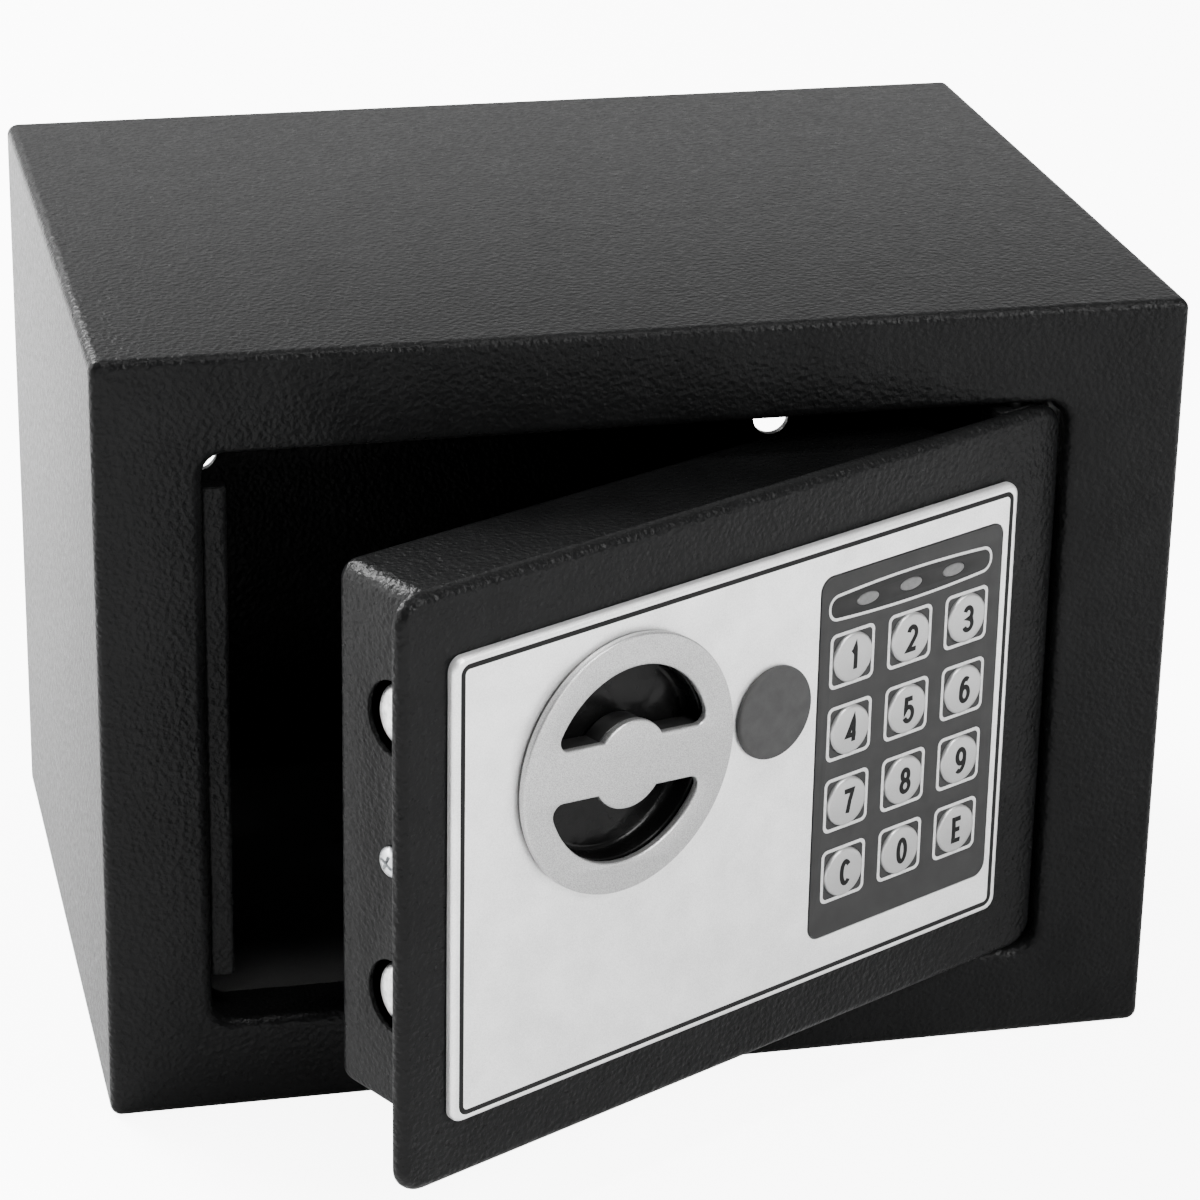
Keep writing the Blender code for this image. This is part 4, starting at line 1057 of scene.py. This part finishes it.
def make_overlay(box, keys, film, pale, glass, lens):
    """Keypad film with its key holes, light window, lights and printed outline."""
    high = box[1]
    outer = outline(box, 0, PAD_CORNER)
    holes = [circle(middle(key).x, middle(key).z, KEY_R + 0.06, FINE_ROUND) for key in keys]
    window = door_box("light_window")
    bar = middle(window)
    wide = window[1].x - window[0].x
    tall = window[1].z - window[0].z
    holes.append(barrel(bar.x, bar.z, wide, tall, WINDOW_CORNER))
    top = PLATE_FRONT - PAD_TOP
    piece("keypad_film", sheet_metal([outer] + holes, top, high.y, 0.1), DOOR, film, "door",
          ["keypad_overlay"], smooth=28)

    grow = 0.3
    outside = barrel(bar.x, bar.z, wide + 2 * grow, tall + 2 * grow, WINDOW_CORNER + grow)
    inside = barrel(bar.x, bar.z, wide - 2 * grow, tall - 2 * grow, WINDOW_CORNER - grow)
    piece("light_window_outline", line_ring(outside, inside, top + 0.05, 0.09), DOOR, pale,
          "door")

    lights = {name: door_box(name) for name in LIGHTS}
    shapes = [barrel(bar.x, bar.z, wide - 0.1, tall - 0.1, WINDOW_CORNER - 0.05)]
    shapes += [lamp_oval(light, 0.05) for light in lights.values()]
    piece("light_window_pane", sheet_metal(shapes, top - 0.02, high.y, 0.08), DOOR, glass,
          "door", ["light_window"], smooth=28)
    for name, light in lights.items():
        rings = [depth(lamp_oval(light, grow), y) for grow, y in
                 ((-0.6, top - 0.16), (-0.25, top - 0.12), (-0.05, top - 0.04),
                  (0, top + 0.05), (0, high.y))]
        piece(name + "_lens", loft(rings), DOOR, lens, "door", [name])


def lamp_oval(box, grow):
    """The oval that fills a lamp's box, grown all round."""
    mid = middle(box)
    return ellipse(mid.x, mid.z, (box[1].x - box[0].x) / 2 + grow,
                   (box[1].z - box[0].z) / 2 + grow, LAMP_SIDES)


# ---- lock hardware ------------------------------------------------------------------
def make_bolt(name, node, box, steel):
    """Round locking bolt with a domed, faced tip."""
    low, high = box
    mid = middle(box)
    radius = (high.z - low.z) / 2
    length = high.x - low.x
    profile = [(0, 0.2), (1.2, 0.2), (1.5, 0.05), (2.4, 0.0), (3.9, 0.1), (5.0, 0.3),
               (5.8, 0.65), (6.4, 1.15), (6.8, 1.8), (radius, 2.6), (radius, length - 0.5),
               (radius - 0.5, length), (0, length)]
    bolt = moved(rotated(turned(profile), -90, "Z"), (low.x, mid.y, mid.z))
    piece(name, bolt, DOOR, steel, "bolts", [node], smooth=50)


def plus(reach, half):
    """Outline of a plus sign."""
    arm = [(reach, half), (half, half), (half, reach)]
    return (arm + [(-z, x) for x, z in arm] + [(-x, -z) for x, z in arm]
            + [(z, -x) for x, z in arm])


def make_screw(name, node, box, facing, steel):
    """Cross-recessed pan-head screw in the case's side."""
    mid = middle(box)
    radius = (box[1].z - box[0].z) / 2
    outer = box[0].x if facing > 0 else box[1].x
    head = [(0, 0), (radius * 0.45, 0.06), (radius * 0.75, 0.35), (radius * 0.93, 0.8),
            (radius, 1.3), (radius, 1.6), (SCREW_R, 1.6), (SCREW_R, SCREW_LENGTH - 0.3),
            (SCREW_R - 0.3, SCREW_LENGTH), (0, SCREW_LENGTH)]
    place = (DOOR @ Matrix.Translation(Vector((outer, mid.y, mid.z)) * MM)
             @ Matrix.Rotation(math.radians(-90 * facing), 4, "Z"))
    screw = mesh_object(name, turned(head, FINE_ROUND), place)
    cross = loft([depth(plus(radius * 0.62 * size, 0.4 * size), y)
                  for size, y in ((1.15, -1), (1.0, 0.1), (0.45, 1.2))])
    cut_out(screw, rotated(cross, 25, "Y"), place)
    finished(screw, steel, "door", [node], smooth=40)


def make_battery_cover(box, black):
    """Battery cover with grip ribs and a finger notch."""
    low, high = box
    mid = middle(box)
    flipped = (Vector((low.x, -high.y, low.z)), Vector((high.x, -low.y, high.z)))
    shape = slab(flipped, 1.0, 0.2)
    shape.transform(Matrix.Scale(-1, 4, Vector((0, 1, 0))))
    cover = mesh_object("battery_cover_ribbed", shape, DOOR)
    cuts = []
    for i in range(6):
        z = low.z + 6 + i * 2.6
        cuts.append(moved(loft([depth(rounded(0, 0, 22, 1.1, 0.5, 6), y) for y in (-0.45, 2)]),
                          (mid.x, high.y, z)))
    cuts.append(moved(loft([depth(rounded(0, 0, 9, 3.2, 1.5, 8), y) for y in (-0.7, 2)]),
                      (mid.x, high.y, high.z - 4.5)))
    cut_out(cover, gathered(cuts), DOOR)
    soften(cover, 0.12, 2)
    finished(cover, black, "battery_door", ["battery_cover"])


def make_reset(box, red):
    """Reset button with a slightly dished tip."""
    low, high = box
    mid = middle(box)
    tip = high.y
    profile = [(0, low.y), (RESET_R, low.y), (RESET_R, tip - 4.0), (RESET_R + 1.5, tip - 4.0),
               (RESET_R + 1.5, tip - 2.5), (RESET_R, tip - 2.5), (RESET_R, tip - 0.6),
               (RESET_R - 0.1, tip - 0.25), (RESET_R - 0.35, tip - 0.05),
               (2.5, tip), (1.8, tip - 0.1), (0, tip - 0.2)]
    piece("reset_button_dished", moved(turned(profile, FINE_ROUND), (mid.x, 0, mid.z)), DOOR,
          red, "reset", ["reset_button"])


def make_pins(coat):
    """Hinge pins with rounded ends."""
    for side, up in (("upper", -1), ("lower", 1)):
        low, high = cabinet_box("hinge_pin_" + side)
        mid = middle((low, high))
        radius = (high.x - low.x) / 2
        length = high.z - low.z
        profile = [(0, 0), (radius - 0.5, 0.0), (radius - 0.15, 0.15), (radius, 0.5),
                   (radius, length - 0.2), (radius - 0.2, length), (0, length)]
        bm = rotated(turned(profile, FINE_ROUND), -90 * up, "X")
        start = high.z if up > 0 else low.z
        bm.transform(Matrix.Translation((mid.x, mid.y, start)))
        piece("hinge_pin_" + side + "_round", bm, None, coat, "cabinet",
              ["hinge_pin_" + side])


def make_lugs(coat):
    """Hinge lugs with rounded edges and their bores."""
    for side in ("upper", "lower"):
        box = door_box("hinge_lug_" + side)
        lug = mesh_object("hinge_lug_" + side + "_round", post(box, 1.2), DOOR)
        bore = rotated(rod(HINGE_BORE_R, box[0].z - 1, box[1].z + 1), 90, "X")
        cut_out(lug, bore, DOOR)
        soften(lug, 0.2, 2)
        finished(lug, coat, "door", ["hinge_lug_" + side])


def dress_rest(finishes):
    """Give the CAD nodes that still show their own procedural materials."""
    for name, finish in finishes.items():
        for node, thing in frame["nodes"].items():
            if node.startswith(name) and not thing.hide_render:
                thing.data.materials.clear()
                thing.data.materials.append(finish)


# ---- stage --------------------------------------------------------------------------
def make_floor():
    """Plain pale floor."""
    bm = bmesh.new()
    corners = ((-1, -1), (1, -1), (1, 1), (-1, 1))
    bm.faces.new([bm.verts.new((x * FLOOR_REACH, y * FLOOR_REACH, 0)) for x, y in corners])
    floor = mesh_object("pale_floor", bm)
    paint = Finish("pale_floor_paint", grey(0.86), 0.9, specular=0.1)
    paint.colour(paint.tint(paint.noise(300, 2), grey(0.85), grey(0.87)))
    paint.set("Emission Color", (1, 1, 1, 1))
    seen = paint.tree.nodes.new("ShaderNodeLightPath").outputs["Is Camera Ray"]
    paint.link(paint.shade(seen, 0.0, FLOOR_SEEN, 0.0, 1.0),
               paint.shader.inputs["Emission Strength"])
    floor.data.materials.append(paint.material)


def make_world():
    """Soft studio surroundings: pale to the eye, brighter behind than in front."""
    world = bpy.data.worlds.new("studio")
    bpy.context.scene.world = world
    world.use_nodes = True
    nodes, links = world.node_tree.nodes, world.node_tree.links
    plain = nodes["Background"]
    plain.inputs["Color"].default_value = (1, 1, 1, 1)
    plain.inputs["Strength"].default_value = WORLD_SEEN
    soft = nodes.new("ShaderNodeBackground")
    direction = nodes.new("ShaderNodeTexCoord").outputs["Generated"]
    split = nodes.new("ShaderNodeSeparateXYZ")
    links.new(direction, split.inputs["Vector"])
    ramp = nodes.new("ShaderNodeMapRange")
    for socket, value in (("From Min", -0.5), ("From Max", 0.8),
                          ("To Min", WORLD_FRONT), ("To Max", WORLD_BACK)):
        ramp.inputs[socket].default_value = value
    links.new(split.outputs["Y"], ramp.inputs["Value"])
    links.new(ramp.outputs["Result"], soft.inputs["Strength"])
    seen = nodes.new("ShaderNodeLightPath")
    mix = nodes.new("ShaderNodeMixShader")
    links.new(seen.outputs["Is Camera Ray"], mix.inputs["Fac"])
    links.new(soft.outputs["Background"], mix.inputs[1])
    links.new(plain.outputs["Background"], mix.inputs[2])
    links.new(mix.outputs["Shader"], nodes["World Output"].inputs["Surface"])


def make_light(name, place, target, width, tall, power):
    """A soft rectangular lamp that faces a point."""
    lamp = bpy.data.lights.new(name, "AREA")
    lamp.shape = "RECTANGLE"
    lamp.size, lamp.size_y = width, tall
    lamp.energy = power
    made = bpy.data.objects.new(name, lamp)
    made.location = place
    made.rotation_euler = (Vector(target) - Vector(place)).to_track_quat("-Z", "Y").to_euler()
    bpy.context.scene.collection.objects.link(made)


def make_camera():
    """Camera at the viewing angle of the picture."""
    data = bpy.data.cameras.new("view")
    data.sensor_width = CAMERA_SENSOR
    data.lens = CAMERA_LENS
    data.shift_x, data.shift_y = CAMERA_SHIFT
    made = bpy.data.objects.new("view", data)
    bpy.context.scene.collection.objects.link(made)
    bpy.context.scene.camera = made
    turn = math.radians(CAMERA_TURN)
    rise = math.radians(CAMERA_RISE)
    roll = math.radians(CAMERA_ROLL)
    target = Vector(CAMERA_TARGET)
    ahead = Vector((math.sin(turn) * math.cos(rise), math.cos(turn) * math.cos(rise),
                    -math.sin(rise)))
    right = Vector((math.cos(turn), -math.sin(turn), 0))
    upward = right.cross(ahead)
    tilted = right * math.cos(roll) + upward * math.sin(roll)
    upward = tilted.cross(ahead)
    placed = Matrix((tilted, upward, -ahead)).transposed().to_4x4()
    placed.translation = target - ahead * CAMERA_DISTANCE
    made.matrix_world = placed


def main():
    """Build every piece, then the stage, the lights and the camera."""
    coat = powder_coat()
    make_shell(cabinet_box("body_shell"), coat)
    make_back(cabinet_box("back_panel"), coat)
    make_striker(cabinet_box("bolt_striker"), coat)
    make_mat(cabinet_box("floor_mat"), felt())

    make_plate(coat)
    bolt_boxes = {side: door_box("locking_bolt_" + side) for side in ("upper", "lower")}
    screw = door_box("case_screw_free")
    make_case(door_box("lock_case"), [middle(box) for box in bolt_boxes.values()],
              middle(screw).z, coat)
    black_ink = ink("ink_black", 0.006)
    pale_ink = ink("ink_pale", 0.5)
    fascia = door_box("fascia_panel")
    pad = door_box("keypad_overlay")
    make_fascia(fascia, pad, fascia_silver())
    make_pinstripe(fascia, black_ink)

    black = moulded("black_moulded", 0.012, 0.34)
    make_knob(knob_silver(), black)
    make_dish(dish_gloss())
    make_cap(moulded("cap_grey_matt", 0.04, 0.65, 0.004, 0.15))

    key_names = sorted(name for name in frame["nodes"] if name.startswith("key_"))
    keys = {name[len("key_"):]: door_box(name) for name in key_names}
    make_overlay(pad, list(keys.values()), overlay_film(), pale_ink,
                  moulded("light_pane_smoked", 0.01, 0.35, 0.004, 0.15), lamp_lens())
    silver_key = key_silver()
    for name, box in keys.items():
        make_key(name, box, silver_key, black_ink, pale_ink)

    steel = scratched_steel()
    for side, box in bolt_boxes.items():
        make_bolt("bolt_" + side + "_round", "locking_bolt_" + side, box, steel)
    zinc_plate = zinc()
    for side, facing in (("free", 1), ("hinge", -1)):
        node = "case_screw_" + side
        make_screw("case_screw_" + side + "_cross", node, door_box(node), facing, zinc_plate)
    make_battery_cover(door_box("battery_cover"), black)
    make_reset(door_box("reset_button"), red_plastic())
    make_pins(coat)
    make_lugs(coat)
    board = circuit_board()
    dress_rest({"knob_spindle": zinc_plate, "crank_arm": zinc_plate, "override_": lock_brass(),
                "case_bracket": zinc_plate, "bolt_carriage": zinc_plate,
                "guide_post": zinc_plate, "solenoid": zinc_plate,
                "battery_holder": black, "battery_cell": cell_jacket(),
                "solenoid_coil": coil_copper(), "control_board": board,
                "keypad_board": board})

    make_floor()
    make_world()
    for lamp in LAMPS:
        make_light(*lamp)
    make_camera()


main()
